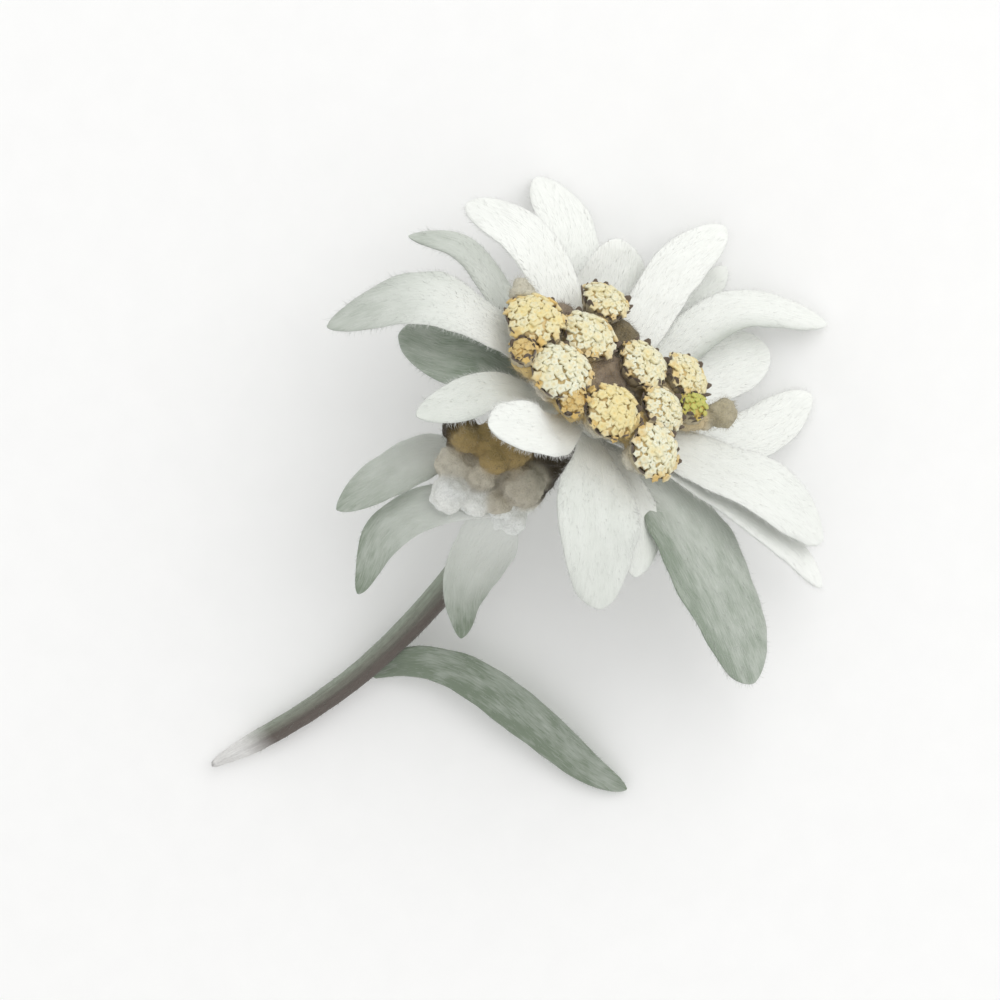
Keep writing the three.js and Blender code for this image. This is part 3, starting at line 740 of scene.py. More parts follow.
def wool_tree(name):
    """Bent tapered hairs that follow the way the wool lies, thinly or densely as the surface says."""
    tree, node, given = new_tree(name, "Length", "Radius", "Density", "Lift", "Tangle")
    seed, length = given["Seed"], given["Length"]
    wool = node("GeometryNodeInputNamedAttribute", ("wool",), data_type="FLOAT")
    flow = node("GeometryNodeInputNamedAttribute", ("flow",), data_type="FLOAT_VECTOR")
    density = node(MATH, (given["Density"], wool), operation="MULTIPLY")
    roots = node("GeometryNodeDistributePointsOnFaces", {0: given["Geometry"], 4: density, 6: seed},
                 distribute_method="RANDOM")
    stray = node(RANDOM, {0: (-1,) * 3, 1: (1,) * 3, 8: seed}, data_type="FLOAT_VECTOR")
    astray = node(VECTOR, {0: stray, 3: given["Tangle"]}, operation="SCALE")
    lifted = node(VECTOR, {0: roots.outputs[1], 3: given["Lift"]}, operation="SCALE")
    both = node(VECTOR, (astray, lifted), operation="ADD")
    way = node(VECTOR, (flow, both), operation="ADD")
    turned = node("FunctionNodeAlignRotationToVector", {2: way}, axis="Z")
    roll = node(RANDOM, {2: 0.0, 3: 2 * math.pi, 8: seed}, data_type="FLOAT")
    spin = node("FunctionNodeAxisAngleToRotation", ((0, 0, 1), roll))
    rotation = node("FunctionNodeRotateRotation", (turned, spin), rotation_space="LOCAL")
    size = node(RANDOM, {2: HAIR_SIZES[0], 3: HAIR_SIZES[1], 8: seed}, data_type="FLOAT")

    hair = node("GeometryNodeMeshCone", (3, 2, 1, 0.0, given["Radius"], length), fill_type="NGON")
    height = node("ShaderNodeSeparateXYZ", (node("GeometryNodeInputPosition"),)).outputs[2]
    share = node(MATH, (height, length), operation="DIVIDE")
    curve = node(MATH, (share, height), operation="MULTIPLY")
    aside = node(MATH, (curve, HAIR_BEND), operation="MULTIPLY")
    bent = node("GeometryNodeSetPosition", {0: hair, 3: node("ShaderNodeCombineXYZ", (aside,))})
    hairs = node("GeometryNodeInstanceOnPoints", {0: roots, 2: bent, 5: rotation, 6: size})
    end_tree(node, hairs, given["Material"])
    return tree


def ringed_mesh(name, rings, value, marks):
    """A small closed mesh of rings, with one named value for each ring and for its two ends."""
    sides = len(rings[0])
    mesh = closed_mesh(name, capped(np.array(rings)), ring_faces(len(rings), sides))
    *on_rings, first, last = marks
    store(mesh, {value: [*np.repeat(on_rings, sides), first, last]}, "FLOAT", "value")
    return mesh


def floret_mesh():
    """One tiny flower, 1 in radius: a tube that flares into five lobes round a sunken throat."""
    sides = 10
    angles = 2 * math.pi * np.arange(sides) / sides
    shape = ((0.45, -0.9, 0.0), (0.7, 0.1, 0.05), (1.1, 0.7, 0.2), (0.8, 1.0, 0.16), (0.3, 0.75, 0.0))
    rings = []
    for radius, height, lobed in shape:
        reach = radius * (1 + lobed * np.cos(5 * angles))
        rings.append(np.stack([reach * np.cos(angles), reach * np.sin(angles), np.full(sides, height)], -1))
    return ringed_mesh("floret", rings, "crown", (0.0, 0.4, 0.9, 1.0, 0.5, 0.0, 0.3))


def scale_mesh(length, width):
    """One scale of a cup: pointed, arched outwards, thick in the middle."""
    sides = 8
    angles = 2 * math.pi * np.arange(sides) / sides
    shares = (0.0, 0.3, 0.6, 0.85, 1.0)
    rings = []
    for share, half in zip(shares, (0.38, 0.5, 0.48, 0.36, 0.14)):
        thick = 0.12 * half * length
        rings.append(np.stack([
            half * width * np.cos(angles),
            thick * np.sin(angles) + 0.14 * share ** 2 * length,
            np.full(sides, share * length),
        ], -1))
    return ringed_mesh("scale", rings, "tip", (*shares, 0.0, 1.0))


def spun(node, angle, out, up):
    """A vector that points out and up, turned about the axis of a head."""
    arm = node("ShaderNodeCombineXYZ", {0: out, 2: up})
    return node("ShaderNodeVectorRotate", {"Vector": arm, "Angle": angle}, rotation_type="Z_AXIS")


def floret_tree(name):
    """Tiny flowers on a low dome, packed along a sunflower spiral."""
    tree, node, given = new_tree(name, "Count", "Radius", "Height", "Size", "Warmth")
    seed, count, radius, height = (given[key] for key in ("Seed", "Count", "Radius", "Height"))
    index = node("GeometryNodeInputIndex")
    middle = node(MATH, (index, 0.5), operation="ADD")
    part = node(MATH, (middle, count), operation="DIVIDE")
    out = node(MATH, (part,), operation="SQRT")
    angle = node(MATH, (index, GOLDEN_ANGLE), operation="MULTIPLY")
    reach = node(MATH, (out, radius), operation="MULTIPLY")
    fall = node(MATH, (part, -DOME_FALL, 1.0), operation="MULTIPLY_ADD")
    rise = node(MATH, (fall, height), operation="MULTIPLY")
    jolts = node(RANDOM, {0: (-FLORET_JOLT,) * 3, 1: (FLORET_JOLT,) * 3, 8: seed}, data_type="FLOAT_VECTOR")
    placed = node(VECTOR, (spun(node, angle, reach, rise), jolts), operation="ADD")
    points = node("GeometryNodePoints", (count, placed))
    rimmed = node("GeometryNodeStoreNamedAttribute", {0: points, 2: "rim", 3: out}, data_type="FLOAT")
    draw = node(RANDOM, {2: -FLORET_TONES, 3: FLORET_TONES, 8: seed}, data_type="FLOAT")
    tone = node(MATH, (draw, given["Warmth"]), operation="ADD")
    toned = node("GeometryNodeStoreNamedAttribute", {0: rimmed, 2: "tone", 3: tone}, data_type="FLOAT")

    low, high = (-FLORET_TILT, -FLORET_TILT, 0), (FLORET_TILT, FLORET_TILT, 0)
    stray = node(RANDOM, {0: low, 1: high, 8: seed}, data_type="FLOAT_VECTOR")
    way = node(VECTOR, (spun(node, angle, part, 1.0), stray), operation="ADD")
    rotation = node("FunctionNodeAlignRotationToVector", {2: way}, axis="Z")
    vary = node(RANDOM, {2: FLORET_SIZES[0], 3: FLORET_SIZES[1], 8: seed}, data_type="FLOAT")
    size = node(MATH, (vary, given["Size"]), operation="MULTIPLY")
    flowers = node("GeometryNodeInstanceOnPoints", {0: toned, 2: given["Geometry"], 5: rotation, 6: size})

    dome = node("GeometryNodeMeshUVSphere", (32, 16, 1.0))
    core = node(MATH, (radius, 0.9), operation="MULTIPLY")
    bed = node("GeometryNodeTransform", {0: dome, 3: node("ShaderNodeCombineXYZ", (core, core, height))})
    end_tree(node, node("GeometryNodeJoinGeometry", ([bed, flowers],)), given["Material"])
    return tree


def scale_tree(name):
    """A cup of overlapping pointed scales in rings."""
    tree, node, given = new_tree(name, "Count", "Radius", "Height", "Spread", "Closing")
    seed, count, radius, height = (given[key] for key in ("Seed", "Count", "Radius", "Height"))
    index = node("GeometryNodeInputIndex")
    middle = node(MATH, (index, 0.5), operation="ADD")
    lap = node(MATH, (middle, count), operation="DIVIDE")
    ring = node(MATH, (lap,), operation="FLOOR")
    shifted = node(MATH, (ring, 0.5, index), operation="MULTIPLY_ADD")
    turn = node(MATH, (shifted, count), operation="DIVIDE")
    angle = node(MATH, (turn, 2 * math.pi), operation="MULTIPLY")
    share = node(MATH, (ring, RING_STEP, FIRST_RING), operation="MULTIPLY_ADD")
    reach = node(MATH, (share, radius), operation="MULTIPLY")
    foot = node(MATH, (ring, FOOT_STEP, FIRST_FOOT), operation="MULTIPLY_ADD")
    rise = node(MATH, (foot, height), operation="MULTIPLY")
    total = node(MATH, (count, SCALE_RINGS), operation="MULTIPLY")
    points = node("GeometryNodePoints", (total, spun(node, angle, reach, rise)))

    lean = node(MATH, (ring, given["Closing"], given["Spread"]), operation="MULTIPLY_ADD")
    stray = node(RANDOM, {0: (-SCALE_TILT,) * 3, 1: (SCALE_TILT,) * 3, 8: seed}, data_type="FLOAT_VECTOR")
    way = node(VECTOR, (spun(node, angle, lean, 1.0), stray), operation="ADD")
    upright = node("FunctionNodeAlignRotationToVector", {2: way}, axis="Z")
    outward = spun(node, angle, 1.0, 0.0)
    facing = node("FunctionNodeAlignRotationToVector", {0: upright, 2: outward}, axis="Y", pivot_axis="Z")
    vary = node(RANDOM, {2: SCALE_SIZES[0], 3: SCALE_SIZES[1], 8: seed}, data_type="FLOAT")
    scales = node("GeometryNodeInstanceOnPoints", {0: points, 2: given["Geometry"], 5: facing, 6: vary})

    low = node(MATH, (radius, 0.5), operation="MULTIPLY")
    high = node(MATH, (radius, 0.86), operation="MULTIPLY")
    cup = node("GeometryNodeMeshCone", (32, 4, 3, high, low, height), fill_type="NGON")
    end_tree(node, node("GeometryNodeJoinGeometry", ([cup, scales],)), given["Material"])
    return tree


# ---------------------------------------------------------------- materials


def new_material(name, **values):
    """An empty material, what adds nodes to it, and the named values of the mesh that it reads."""
    material = bpy.data.materials.new(name)
    material.use_nodes = True
    material.node_tree.nodes.clear()
    node = partial(add, material.node_tree)
    read = [node("ShaderNodeAttribute", attribute_name=key).outputs[out] for key, out in values.items()]
    return material, node, *read


def mottle(node, sizes, low, high, where=None):
    """A value that wanders from low to high in grains of these sizes, on the piece or along its own grain."""
    where = where or node("ShaderNodeTexCoord").outputs["Object"]
    scaled = node("ShaderNodeMapping", {"Vector": where, "Scale": tuple(1 / np.broadcast_to(sizes, 3))})
    grains = node("ShaderNodeTexNoise", {"Vector": scaled, "Scale": 1.0, "Detail": 3.0})
    return node("ShaderNodeMapRange", (grains, 0.3, 0.7, low, high))


def surface(node, colour, shade, roughness, sheen, relief=None, depth=0):
    """Ends a material: its colour and shade, roughness, sheen of fine hairs, and relief of a depth in metres."""
    shaded = node(MIX, {0: 1.0, 6: colour, 7: shade}, data_type="RGBA", blend_type="MULTIPLY")
    look = {"Base Color": shaded, "Roughness": roughness, "Sheen Weight": sheen, "Sheen Roughness": 0.6}
    if relief:
        look["Normal"] = node("ShaderNodeBump", {"Strength": 0.5, "Distance": depth, "Height": relief})
    node("ShaderNodeOutputMaterial", (node("ShaderNodeBsdfPrincipled", look),))


def leaf_wool(name, wool, skin, stain, sheen):
    """Plant wool grown in felted layers on a living leaf.

    It is matt and white where it is thick. Where it is thin the green of the leaf comes through between the locks;
    on bracts in shadow that green is painted shade. At the root it takes a tint: on a bract partly yellowed wool and
    partly painted shade beside the heads, on a lower leaf white painted light.
    """
    material, node, grain, bare, old = new_material(name, grain="Vector", bare="Fac", stain="Fac")
    # One hair is 0.015 mm thick, too fine to show: it is drawn as locks 0.16 mm wide and 1.6 mm long.
    locks = mottle(node, (0.16, 1.6, 1), 0.0, 1.0, grain)
    clumps = mottle(node, (1.6, 4.0, 1), 0.85, 1.15, grain)
    parted = node(MATH, (locks, 0.3, 0.85), operation="MULTIPLY_ADD")
    uneven = node(MATH, (bare, clumps), operation="MULTIPLY")
    thin = node(MATH, (uneven, parted), operation="MULTIPLY")
    grown_over = node(MIX, {0: thin, 6: wool, 7: skin}, data_type="RGBA")
    # On bracts the root tint is partly painted shade; on the lower leaves it is painted light.
    root_tinted = node(MIX, {0: old, 6: grown_over, 7: stain}, data_type="RGBA")
    shade = node(MATH, (locks, 0.07, 0.94), operation="MULTIPLY_ADD")
    roughness = node(MATH, (locks, 0.15, 0.85), operation="MULTIPLY_ADD")
    relief = node(MATH, (locks, clumps), operation="ADD")
    surface(node, root_tinted, shade, roughness, sheen, relief, 0.0001)
    return material


def hair_material(name):
    """Loose plant hair, dull and coloured like the wool it grows from. Tufts 2 mm across differ a little in tone."""
    material, node, tone = new_material(name, hair="Color")
    surface(node, tone, mottle(node, 0.002, 0.92, 1.0), 0.85, 0.3)
    return material


def neck_material(name):
    """Old plant wool, matted in soft lumps. Each lump keeps its own tone, some of them painted shade, and felted
    strands break it up.
    """
    material, node, tone = new_material(name, tone="Color")
    lumps = mottle(node, 0.0011, 0.93, 1.06)
    # Strands of 0.015 mm are too fine to show and are drawn 0.2 mm wide.
    strands = mottle(node, 0.0002, 0.88, 1.07)
    shade = node(MATH, (lumps, strands), operation="MULTIPLY")
    relief = node(MATH, (strands, 5.0, lumps), operation="MULTIPLY_ADD")
    surface(node, tone, shade, strands, 0.08, relief, 0.00016)
    return material


def stem_material(name, colours):
    """Dry ribbed stem skin, brown, with streaks of grey wool along it and pale pith at the cut. The grey is heavier
    along one side as painted light, and the brown of the other side is painted shade.
    """
    material, node, grain, pith, lit, downy = new_material(name, grain="Vector", pith="Fac", grey="Fac", downy="Fac")
    streaks = mottle(node, (0.35, 7.0, 1), 0.6, 1.2, grain)
    fibres = mottle(node, (0.12, 1.2, 1), 0.8, 1.05, grain)
    # lit is the grey wool near the neck and, along one side of the stem, painted light.
    grey = node(MATH, (lit, streaks), operation="MULTIPLY")
    woolly = node(MIX, {0: grey, 6: colours.stem, 7: colours.stem_light}, data_type="RGBA")
    white = node(MATH, (downy, streaks), operation="MULTIPLY")
    whitened = node(MIX, {0: white, 6: woolly, 7: colours.pale}, data_type="RGBA")
    cut = node(MIX, {0: pith, 6: whitened, 7: colours.pith}, data_type="RGBA")
    relief = node(MATH, (fibres, 3.0, streaks), operation="MULTIPLY_ADD")
    surface(node, cut, fibres, 0.75, 0.1, relief, 0.00012)
    return material


def floret_material(name, top, warm, rim):
    """Thin waxy flower tissue: pale lobes, some yellower, and ochre outer flowers. The darker ochre down the tubes
    and in the sunken throats is painted shade.
    """
    material, node, out, tone, crown = new_material(name, rim="Fac", tone="Fac", crown="Fac")
    patches = mottle(node, 0.0022, -0.25, 0.25)
    mottling = mottle(node, 0.0004, 0.93, 1.03)
    warmth = node(MATH, (tone, patches), operation="ADD")
    yellow = node(MIX, {0: warmth, 6: top, 7: warm}, data_type="RGBA")
    outer = node(MATH, (patches, 0.4, out), operation="MULTIPLY_ADD")
    ochre = node("ShaderNodeMapRange", (outer, 0.84, 1.04, 0.0, 0.9))
    edged = node(MIX, {0: ochre, 6: yellow, 7: rim}, data_type="RGBA")
    # Painted shade: deep in the throats and down the tubes the flowers take the rim's ochre.
    depth = node("ShaderNodeMapRange", (crown, 0.7, 0.1, 0.0, 0.7))
    throat = node(MIX, {0: depth, 6: edged, 7: rim}, data_type="RGBA")
    surface(node, throat, mottling, 0.6, 0.15, mottling, 0.0003)
    return material


def scale_material(name, colours):
    """Papery scales: woolly and pale below, with dry dark brown tips."""
    material, node, tip = new_material(name, tip="Fac")
    worn = mottle(node, 0.0026, -0.25, 0.1)
    mottling = mottle(node, 0.0004, 0.85, 1.05)
    dry = node(MATH, (tip, worn), operation="ADD")
    browned = node("ShaderNodeMapRange", (dry, 0.5, 0.65))
    tipped = node(MIX, {0: browned, 6: colours.scale, 7: colours.scale_tip}, data_type="RGBA")
    surface(node, tipped, mottling, mottling, 0.2, mottling, 0.0003)
    return material


def board_material(name, pale):
    """Smooth matt board, with the faint tooth of its paper drawn in grains of 4 mm."""
    material, node = new_material(name)
    tooth = mottle(node, 0.004, 0.985, 1.0)
    surface(node, pale, tooth, 0.9, 0.0, tooth, 0.0001)
    return material


def shared(maker, name, *values):
    """A material or tree that several pieces share: it is made once."""
    return bpy.data.materials.get(name) or bpy.data.node_groups.get(name) or maker(name, *values)


# ---------------------------------------------------------------- operators


def grow_wool(name, mesh, slot, settings, density, length, lift=1):
    """Wool hairs as a piece of their own, on a mesh that says where and which way they grow."""
    wool = settings.wool
    values = {
        "Length": wool.length * length, "Radius": wool.radius, "Density": wool.density * density * 1e6,
        "Lift": wool.lift * lift, "Tangle": wool.tangle * lift ** 0.5, "Seed": wool.seed,
        "Material": shared(hair_material, "Loose plant hair"),
    }
    piece(name, grown(name, shared(wool_tree, "Wool"), values, mesh), slot)


class MESH_OT_edelweiss_stem(bpy.types.Operator):
    """Ribbed stem with a slanting cut end, and thin cobweb wool along it"""

    bl_idname = "mesh.edelweiss_stem"
    bl_label = "Stem"

    def execute(self, context):
        settings = context.scene.edelweiss
        colours = settings.colours
        first = NECK_LENGTH - STEM_HIDDEN
        angles = 2 * math.pi * np.arange(STEM_SIDES) / STEM_SIDES
        rings, grains, pith, grey, downy, flow = ([] for _ in range(6))
        # Two narrower rings close the cut.
        shares = np.concatenate([np.linspace(0, 1, STEM_ROWS), [1, 1]])
        inward = np.concatenate([np.ones(STEM_ROWS), [0.86, 0.5]])
        for t, inner in zip(shares, inward):
            distance = first + (STEM_LENGTH - first) * t
            at, down, side, front = stem_frame(distance)
            radius = STEM_TOP_RADIUS + (STEM_END_RADIUS - STEM_TOP_RADIUS) * t ** STEM_TAPER
            dried = np.clip((distance - STEM_LENGTH + DRY_LENGTH) / DRY_LENGTH, 0, 1) ** 1.5
            ribs = 1 + 0.035 * np.cos(7 * angles + 2 * t) + 0.02 * np.cos(3 * angles - 5 * t)
            ring = round_ring(at, front, side, radius * (1 - DRY_SHRINKAGE * dried) * ribs * inner, STEM_SIDES)
            slant = STEM_CUT_SLANT * np.clip((t - 0.9) / 0.1, 0, 1) ** 2 * ((ring - at) @ front)
            rings.append(ring + np.outer(slant - CUT_HOLLOW * (1 - inner), down))
            grains.append(np.stack([radius * angles, np.full(STEM_SIDES, distance), np.zeros(STEM_SIDES)], -1))
            white = np.clip((distance + slant - STEM_LENGTH + PITH_LENGTH) / PITH_BLEND, 0, 1) ** 1.1
            pith.append(np.maximum(white, 1 if inner < 1 else 0))
            # Grey wool near the neck; along one side the grey is painted light, and the brown of the far side painted
            # shade.
            grey.append(np.clip(0.15 + 0.85 * np.sin(angles) + 0.9 * (1 - t) ** 3, 0, 1.3))
            downy.append(np.full(STEM_SIDES, np.clip((NECK_LENGTH + STEM_DOWN - distance) / STEM_DOWN, 0, 1)))
            flow.append(np.broadcast_to(down, (STEM_SIDES, 3)))
        rings = np.array(rings)
        rings += 0.05 * ruffle(rings, 2.5, 4)[..., None] * unit(rings - rings.mean(1, keepdims=True))

        def ended(values):
            return np.concatenate([np.concatenate(values), values[0][:1], values[-1][:1]])

        pith, grey, downy = ended(pith), ended(grey), ended(downy)
        skin, wool = np.array(colours.stem), np.array(colours.stem_light)
        # The cobweb hairs take the same painted light and shade.
        tone = skin + (wool - skin) * (0.35 + 0.5 * grey[:, None])
        tone = tone + (np.array(colours.pith) - tone) * pith[:, None]
        tone = tone + (np.array(colours.pale) - tone) * downy[:, None]
        numbers = {"pith": pith, "grey": grey, "downy": downy, "wool": 1 + 3 * downy}
        vectors = {"grain": ended(grains), "flow": laid_ways(ended(flow))}
        faces = ring_faces(len(rings), STEM_SIDES)
        mesh = mesh_of("ribbed_stem", capped(rings), faces, numbers, vectors, {"hair": tone})
        mesh.materials.append(shared(stem_material, "Ribbed stem skin", colours))
        piece("ribbed_stem", mesh, "stem", "stem")
        grow_wool("stem_cobweb", mesh, "stem", settings, 0.25, 0.6)
        return {"FINISHED"}


def head_frame(x, y, tilt):
    """The seat of a head, and the way its face looks."""
    away = math.hypot(x, y)
    turn = Matrix.Rotation(math.radians(tilt), 4, Vector((-y, x, 0)) / away)
    axis = turn @ Vector((0, 0, 1))
    face = Vector((x, y, FACE_HEIGHT - FACE_DOME * away))
    return face - axis * (CUP_HEIGHT + GAP + CUSHION_HEIGHT), turn, axis


def neck_bodies():
    """The closed bodies that grow together into the neck."""
    core = []
    for distance in np.linspace(DISC_DEPTH, NECK_LENGTH, 60):
        at, _, side, front = stem_frame(distance)
        flare = (DISC_RADIUS - NECK_RADIUS) * max(0, 1 - distance / FLARE_DEPTH) ** 0.8
        taper = (NECK_RADIUS - STEM_TOP_RADIUS) * (distance / NECK_LENGTH) ** 2 - NECK_LIP_HEIGHT
        lip = min(1, (NECK_LENGTH - distance) / NECK_LIP + 0.05) ** 0.5
        core.append(round_ring(at, front, side, (NECK_RADIUS + flare - taper) * lip, 24))
    bodies = [np.array(core)]
    for x, y, radius, tilt in HEADS:
        seat, _, axis = head_frame(x, y, tilt)
        end = seat + axis * 0.4
        foot = (x * 0.1, y * 0.1, -DISC_DEPTH - 1)
        bow = (x * 0.3, y * 0.3, -DISC_DEPTH + 1)
        bodies.append(stalk(bezier([foot, bow, end - axis, end]), PEDICEL_RADIUS))
        bodies.append(ball(*end, radius * CUP_FOOT))
    bodies.append(ball(*MOUND, MOUND_FLATNESS))
    for x, y, z, radius, _ in WOOL_LUMPS:
        foot = (x * 0.1, y * 0.1, -DISC_DEPTH - 1)
        route = [foot, (x * 0.4, y * 0.4, -DISC_DEPTH), (x * 0.9, y * 0.9, z - 2.6), (x, y, z)]
        bodies.append(stalk(bezier(route), LUMP_STALK_RADIUS))
        bodies.append(ball(x, y, z, radius, LUMP_FLATNESS))
    for x, y, z, radius, _ in AXIL_WOOL:
        bodies.append(ball(x, y, z, radius))
    foot = stem_point(BUD_STALK_FOOT)
    for x, y, z, radius, _ in BUDS:
        centre = np.array((x, y, z))
        bow = foot * 0.5 + centre * 0.5 - (0, 0, 0.5)
        route = [foot, foot / 3 + bow * 2 / 3, centre / 3 + bow * 2 / 3, centre]
        bodies.append(stalk(bezier(route), BUD_STALK_RADIUS))
        bodies.append(ball(x, y, z, radius * BUD_WOOL))
    return bodies


def neck_tones(places, colours):
    """The colour of the neck's wool at each place: that of the lump it lies on, or of the core between them. Its
    near-black brown under the star, its mauve and moss between the heads and the darkening of its olive buds are
    painted shade.
    """
    lumps = BUDS + WOOL_LUMPS + AXIL_WOOL
    depth = np.array([np.linalg.norm(places - lump[:3], axis=1) - lump[3] for lump in lumps])
    pull = np.exp(-np.clip(depth, 0, None) / 0.25)
    tones = np.array([getattr(colours, lump[4]) for lump in lumps])
    heights, names = zip(*CORE_TONES)
    core = np.array([getattr(colours, name) for name in names])
    core = np.stack([np.interp(places[:, 2], heights, core[:, k]) for k in range(4)], 1)
    own = 0.12
    return (pull.T @ tones + own * core) / (pull.sum(0) + own)[:, None]


class MESH_OT_edelweiss_neck(bpy.types.Operator):
    """Woolly neck: the disc, the stalks of the heads and the knobbly mass of side buds, grown together"""

    bl_idname = "mesh.edelweiss_neck"
    bl_label = "Neck"

    def execute(self, context):
        settings = context.scene.edelweiss
        mesh = joined_lumps("woolly_neck", neck_bodies())
        places = np.empty(len(mesh.vertices) * 3)
        mesh.vertices.foreach_get("co", places)
        back = np.array(PLANT.inverted())
        local = places.reshape(-1, 3) @ back[:3, :3].T + back[:3, 3]
        normals = np.array([v.normal for v in mesh.vertices])
        between = np.clip((local[:, 2] + 4) / 2, 0, 1)  # from 0 below the star to 1 between the heads
        rough = (0.5 * ruffle(local, 1.6, 3) + 0.2 * ruffle(local, 0.65, 9)) * (1 + 0.2 * between)
        moved = laid(local) + normals * rough[:, None] * MM
        mesh.vertices.foreach_set("co", moved.astype(np.float32).ravel())

        tone = neck_tones(local, settings.colours)
        fluff = 0.03 + 0.14 * tone[:, :1]
        hair = tone + (np.array(settings.colours.hair) - tone) * fluff
        store(mesh, {"tone": tone, "hair": hair}, "FLOAT_COLOR", "color")
        store(mesh, {"wool": 1 + 1.5 * between}, "FLOAT", "value")
        way = unit(np.cross(normals, laid_ways(np.array([[0.3, 0.5, 1]]))))
        store(mesh, {"flow": way}, "FLOAT_VECTOR", "vector")
        mesh.shade_smooth()
        mesh.materials.append(shared(neck_material, "Matted neck wool"))
        piece("woolly_neck", mesh, "neck_wool", "neck")
        grow_wool("neck_tufts", mesh, "neck_wool", settings, 0.22, 0.95, 8)
        return {"FINISHED"}


class MESH_OT_edelweiss_bracts(bpy.types.Operator):
    """The star of woolly bracts"""

    bl_idname = "mesh.edelweiss_bracts"
    bl_label = "Bracts"

    def execute(self, context):
        settings = context.scene.edelweiss
        colours = settings.colours
        felt = shared(leaf_wool, "White leaf wool", colours.wool, colours.green, colours.stain, 0.4)
        for i, bract in enumerate(BRACTS):
            name = f"{i + 1:02}"
            curve = midrib([polar(*p) for p in bract.path], bract.root)
            tones = colours.hair, colours.green
            mesh = blade_mesh("white_bract_" + name, curve, bract, UPWARD, WAVE_SHIFT * i, *tones)
            mesh.materials.append(felt)
            piece("white_bract_" + name, mesh, "bract_wool", "bract_" + name)
            grow_wool("bract_wool_" + name, mesh, "bract_wool", settings, 1.0, 1.0)
        return {"FINISHED"}


class MESH_OT_edelweiss_leaves(bpy.types.Operator):
    """The three leaves at the bottom of the neck, and the long leaf on the stem"""

    bl_idname = "mesh.edelweiss_leaves"
    bl_label = "Leaves"

    def execute(self, context):
        settings = context.scene.edelweiss
        colours = settings.colours
        # The lower leaves take white as their root tint: painted light against the shade under the star.
        felt = shared(leaf_wool, "Grey leaf felt", colours.felt, colours.leaf, colours.hair, 0.2)
        blades = [
            (f"lower_leaf_{i + 1}", midrib(leaf.path, leaf.root), leaf, UPWARD, WAVE_SHIFT * i)
            for i, leaf in enumerate(LOWER_LEAVES)
        ]
        skyward = (-math.sin(math.radians(LEAN)), 0, math.cos(math.radians(LEAN)))
        curve = bezier(STEM_LEAF.path)
        stem = np.array([stem_point(d) for d in np.arange(NECK_LENGTH, STEM_LENGTH, 0.25)])
        socket = stem[np.argmin(np.linalg.norm(stem - curve[0], axis=1))]
        blades.append(("stem_leaf", np.vstack([socket, curve]), STEM_LEAF, skyward, 0))
        for node, *shape in blades:
            mesh = blade_mesh("felted_" + node, *shape, colours.felt, colours.leaf)
            mesh.materials.append(felt)
            piece("felted_" + node, mesh, "leaf_felt", node)
            grow_wool("felt_of_" + node, mesh, "leaf_felt", settings, 0.8, 0.5)
        return {"FINISHED"}


def head_part(name, tree, start, seat, turn, slot, nodes, **values):
    """A cup or a cushion of a head, grown upright and then turned and moved to its seat."""
    mesh = grown(name, tree, values, start)
    mesh.transform(PLANT @ Matrix.Translation(seat) @ turn @ Matrix.Scale(1 / MM, 4))
    piece(name, mesh, slot, *nodes)


class MESH_OT_edelweiss_heads(bpy.types.Operator):
    """The flower heads: cups of scales, cushions of tiny flowers, and the wool between them"""

    bl_idname = "mesh.edelweiss_heads"
    bl_label = "Heads"

    def execute(self, context):
        settings = context.scene.edelweiss
        heads = settings.heads
        colours = settings.colours
        scale = scale_mesh(heads.scale_length, heads.scale_width)
        flower = floret_mesh()
        papery = shared(scale_material, "Papery scale", colours)
        tissue = shared(floret_material, "Floret tissue", colours.floret, colours.floret_warm, colours.rim)
        cups = shared(scale_tree, "Scales")
        cushions = shared(floret_tree, "Florets")
        for i, (x, y, radius, tilt) in enumerate(HEADS):
            seat, turn, axis = head_frame(x, y, tilt)
            number = str(i + 1)
            head_part(
                "scaly_cup_" + number, cups, scale, seat, turn, "involucre", ["involucre_" + number],
                Count=heads.scales, Radius=radius * MM, Height=CUP_HEIGHT * MM, Spread=0.3, Closing=0.0, Seed=i,
                Material=papery,
            )
            head_part(
                "floret_cushion_" + number, cushions, flower, seat + axis * CUP_HEIGHT, turn, "floret",
                ["florets_" + number], Count=heads.florets, Radius=radius * MM, Height=CUSHION_HEIGHT * MM,
                Size=heads.floret_size * radius / MEAN_HEAD, Warmth=HEAD_WARMTH[i], Seed=i, Material=tissue,
            )
        for i, (x, y, z, radius, tilt, colour) in enumerate(YOUNG_HEADS):
            seat = Vector((x, y, z))
            turn = Matrix.Rotation(math.radians(tilt), 4, Vector((-y, x, 0)))
            number = str(i + 1)
            tone = getattr(colours, colour)
            unripe = shared(floret_material, "Floret tissue, " + colour, tone, tone, colours.rim)
            head_part(
                "young_cup_" + number, cups, scale, seat, turn, "involucre", [],
                Count=9, Radius=radius * MM, Height=radius * YOUNG_CUP * MM, Spread=0.15, Closing=-0.15, Seed=20 + i,
                Material=papery,
            )
            top = seat + turn @ Vector((0, 0, radius * YOUNG_CUP))
            head_part(
                "young_florets_" + number, cushions, flower, top, turn, "floret", [],
                Count=22, Radius=radius * 0.85 * MM, Height=radius * YOUNG_CUSHION * MM,
                Size=heads.floret_size * 0.75, Warmth=0.5, Seed=len(HEADS) + i, Material=unripe,
            )
        return {"FINISHED"}


def put_in(scene, name, data, place=None):
    """A thing of the stage, in the scene."""
    thing = bpy.data.objects.new(name, data)
    scene.collection.objects.link(thing)
    if place:
        thing.matrix_world = place
    return thing


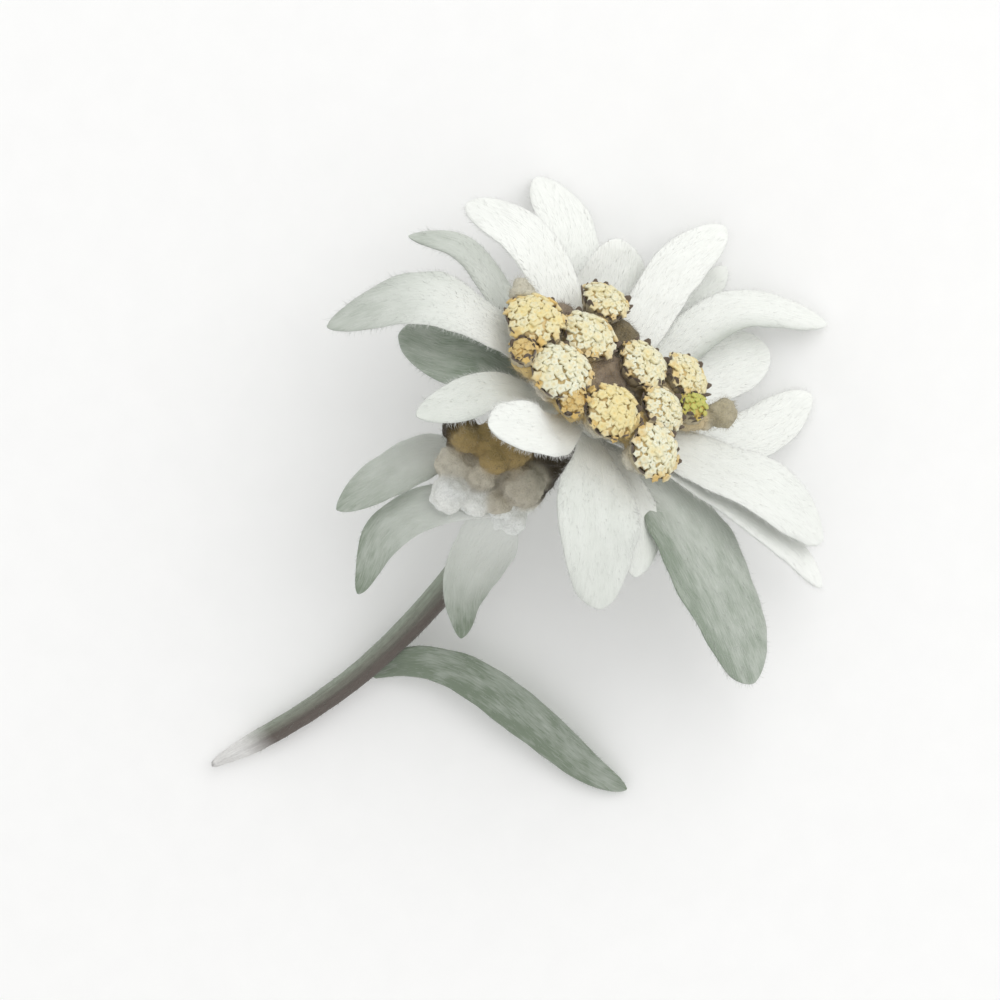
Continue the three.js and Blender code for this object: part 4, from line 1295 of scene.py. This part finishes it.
class SCENE_OT_edelweiss_stage(bpy.types.Operator):
    """Pale floor, soft light and the camera"""

    bl_idname = "scene.edelweiss_stage"
    bl_label = "Stage"

    def execute(self, context):
        scene = context.scene
        stage = scene.edelweiss.stage
        low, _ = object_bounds()
        corners = [(x * FLOOR_REACH, y * FLOOR_REACH, low.z) for x, y in ((-1, -1), (1, -1), (1, 1), (-1, 1))]
        mesh = bpy.data.meshes.new("floor")
        mesh.from_pydata(corners, [], [(0, 1, 2, 3)])
        mesh.materials.append(board_material("Matt board", stage.floor))
        floor = put_in(scene, "floor", mesh)
        floor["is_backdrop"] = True

        elevation = stage.camera_height
        back = Vector((math.cos(elevation), 0, math.sin(elevation)))
        level = Vector((math.sin(elevation), 0, -math.cos(elevation)))
        cos, sin = math.cos(stage.camera_roll), math.sin(stage.camera_roll)
        right = level * cos - Vector((0, 1, 0)) * sin
        up = level * sin + Vector((0, 1, 0)) * cos
        middle = PLANT @ Vector((0, 0, AIM_HEIGHT))
        camera = bpy.data.cameras.new("camera")
        camera.sensor_width = SENSOR_WIDTH
        camera.lens = LENS
        place = middle + back * stage.distance - (right + up) * (OFF_CENTRE * MM)
        turn = Matrix((right, up, back)).transposed().to_4x4()
        scene.camera = put_in(scene, "camera", camera, Matrix.Translation(place) @ turn)

        across, above, nearer = LAMP_WAY
        toward = (right * across + up * above + back * nearer).normalized()
        lamp = bpy.data.lights.new("key", "AREA")
        lamp.shape = "DISK"
        lamp.size = stage.key_size
        lamp.energy = stage.key
        aim = toward.to_track_quat("Z", "Y").to_matrix().to_4x4()
        put_in(scene, "key", lamp, Matrix.Translation(middle + toward * stage.key_distance) @ aim)

        world = bpy.data.worlds.new("Studio")
        world.use_nodes = True
        light = world.node_tree.nodes["Background"].inputs
        light["Color"].default_value = (1, 1, 1, 1)
        light["Strength"].default_value = stage.fill
        scene.world = world
        scene.view_settings.view_transform = "Standard"
        return {"FINISHED"}


class VIEW3D_PT_edelweiss(bpy.types.Panel):
    """Settings and steps of the edelweiss"""

    bl_idname = "VIEW3D_PT_edelweiss"
    bl_label = "Edelweiss"
    bl_space_type = "VIEW_3D"
    bl_region_type = "UI"
    bl_category = "Edelweiss"

    def draw(self, context):
        settings = context.scene.edelweiss
        for group in (settings.wool, settings.heads, settings.colours, settings.stage):
            box = self.layout.box()
            for key in group.__annotations__:
                box.prop(group, key)
        for step in STEPS:
            self.layout.operator(step.bl_idname)


STEPS = (
    MESH_OT_edelweiss_stem,
    MESH_OT_edelweiss_neck,
    MESH_OT_edelweiss_bracts,
    MESH_OT_edelweiss_leaves,
    MESH_OT_edelweiss_heads,
    SCENE_OT_edelweiss_stage,
)
GROUPS = (EdelweissWool, EdelweissHeads, EdelweissColours, EdelweissStage, EdelweissSettings)


def register():
    """Adds the settings, the steps and the panel."""
    for cls in (*GROUPS, *STEPS, VIEW3D_PT_edelweiss):
        bpy.utils.register_class(cls)
    bpy.types.Scene.edelweiss = bpy.props.PointerProperty(type=EdelweissSettings)


def unregister():
    """Takes them away again."""
    del bpy.types.Scene.edelweiss
    for cls in reversed((*GROUPS, *STEPS, VIEW3D_PT_edelweiss)):
        bpy.utils.unregister_class(cls)


def main():
    """Builds every piece."""
    register()
    bpy.ops.mesh.edelweiss_stem()
    bpy.ops.mesh.edelweiss_neck()
    bpy.ops.mesh.edelweiss_bracts()
    bpy.ops.mesh.edelweiss_leaves()
    bpy.ops.mesh.edelweiss_heads()
    bpy.ops.scene.edelweiss_stage()


if __name__ == "__main__":
    main()
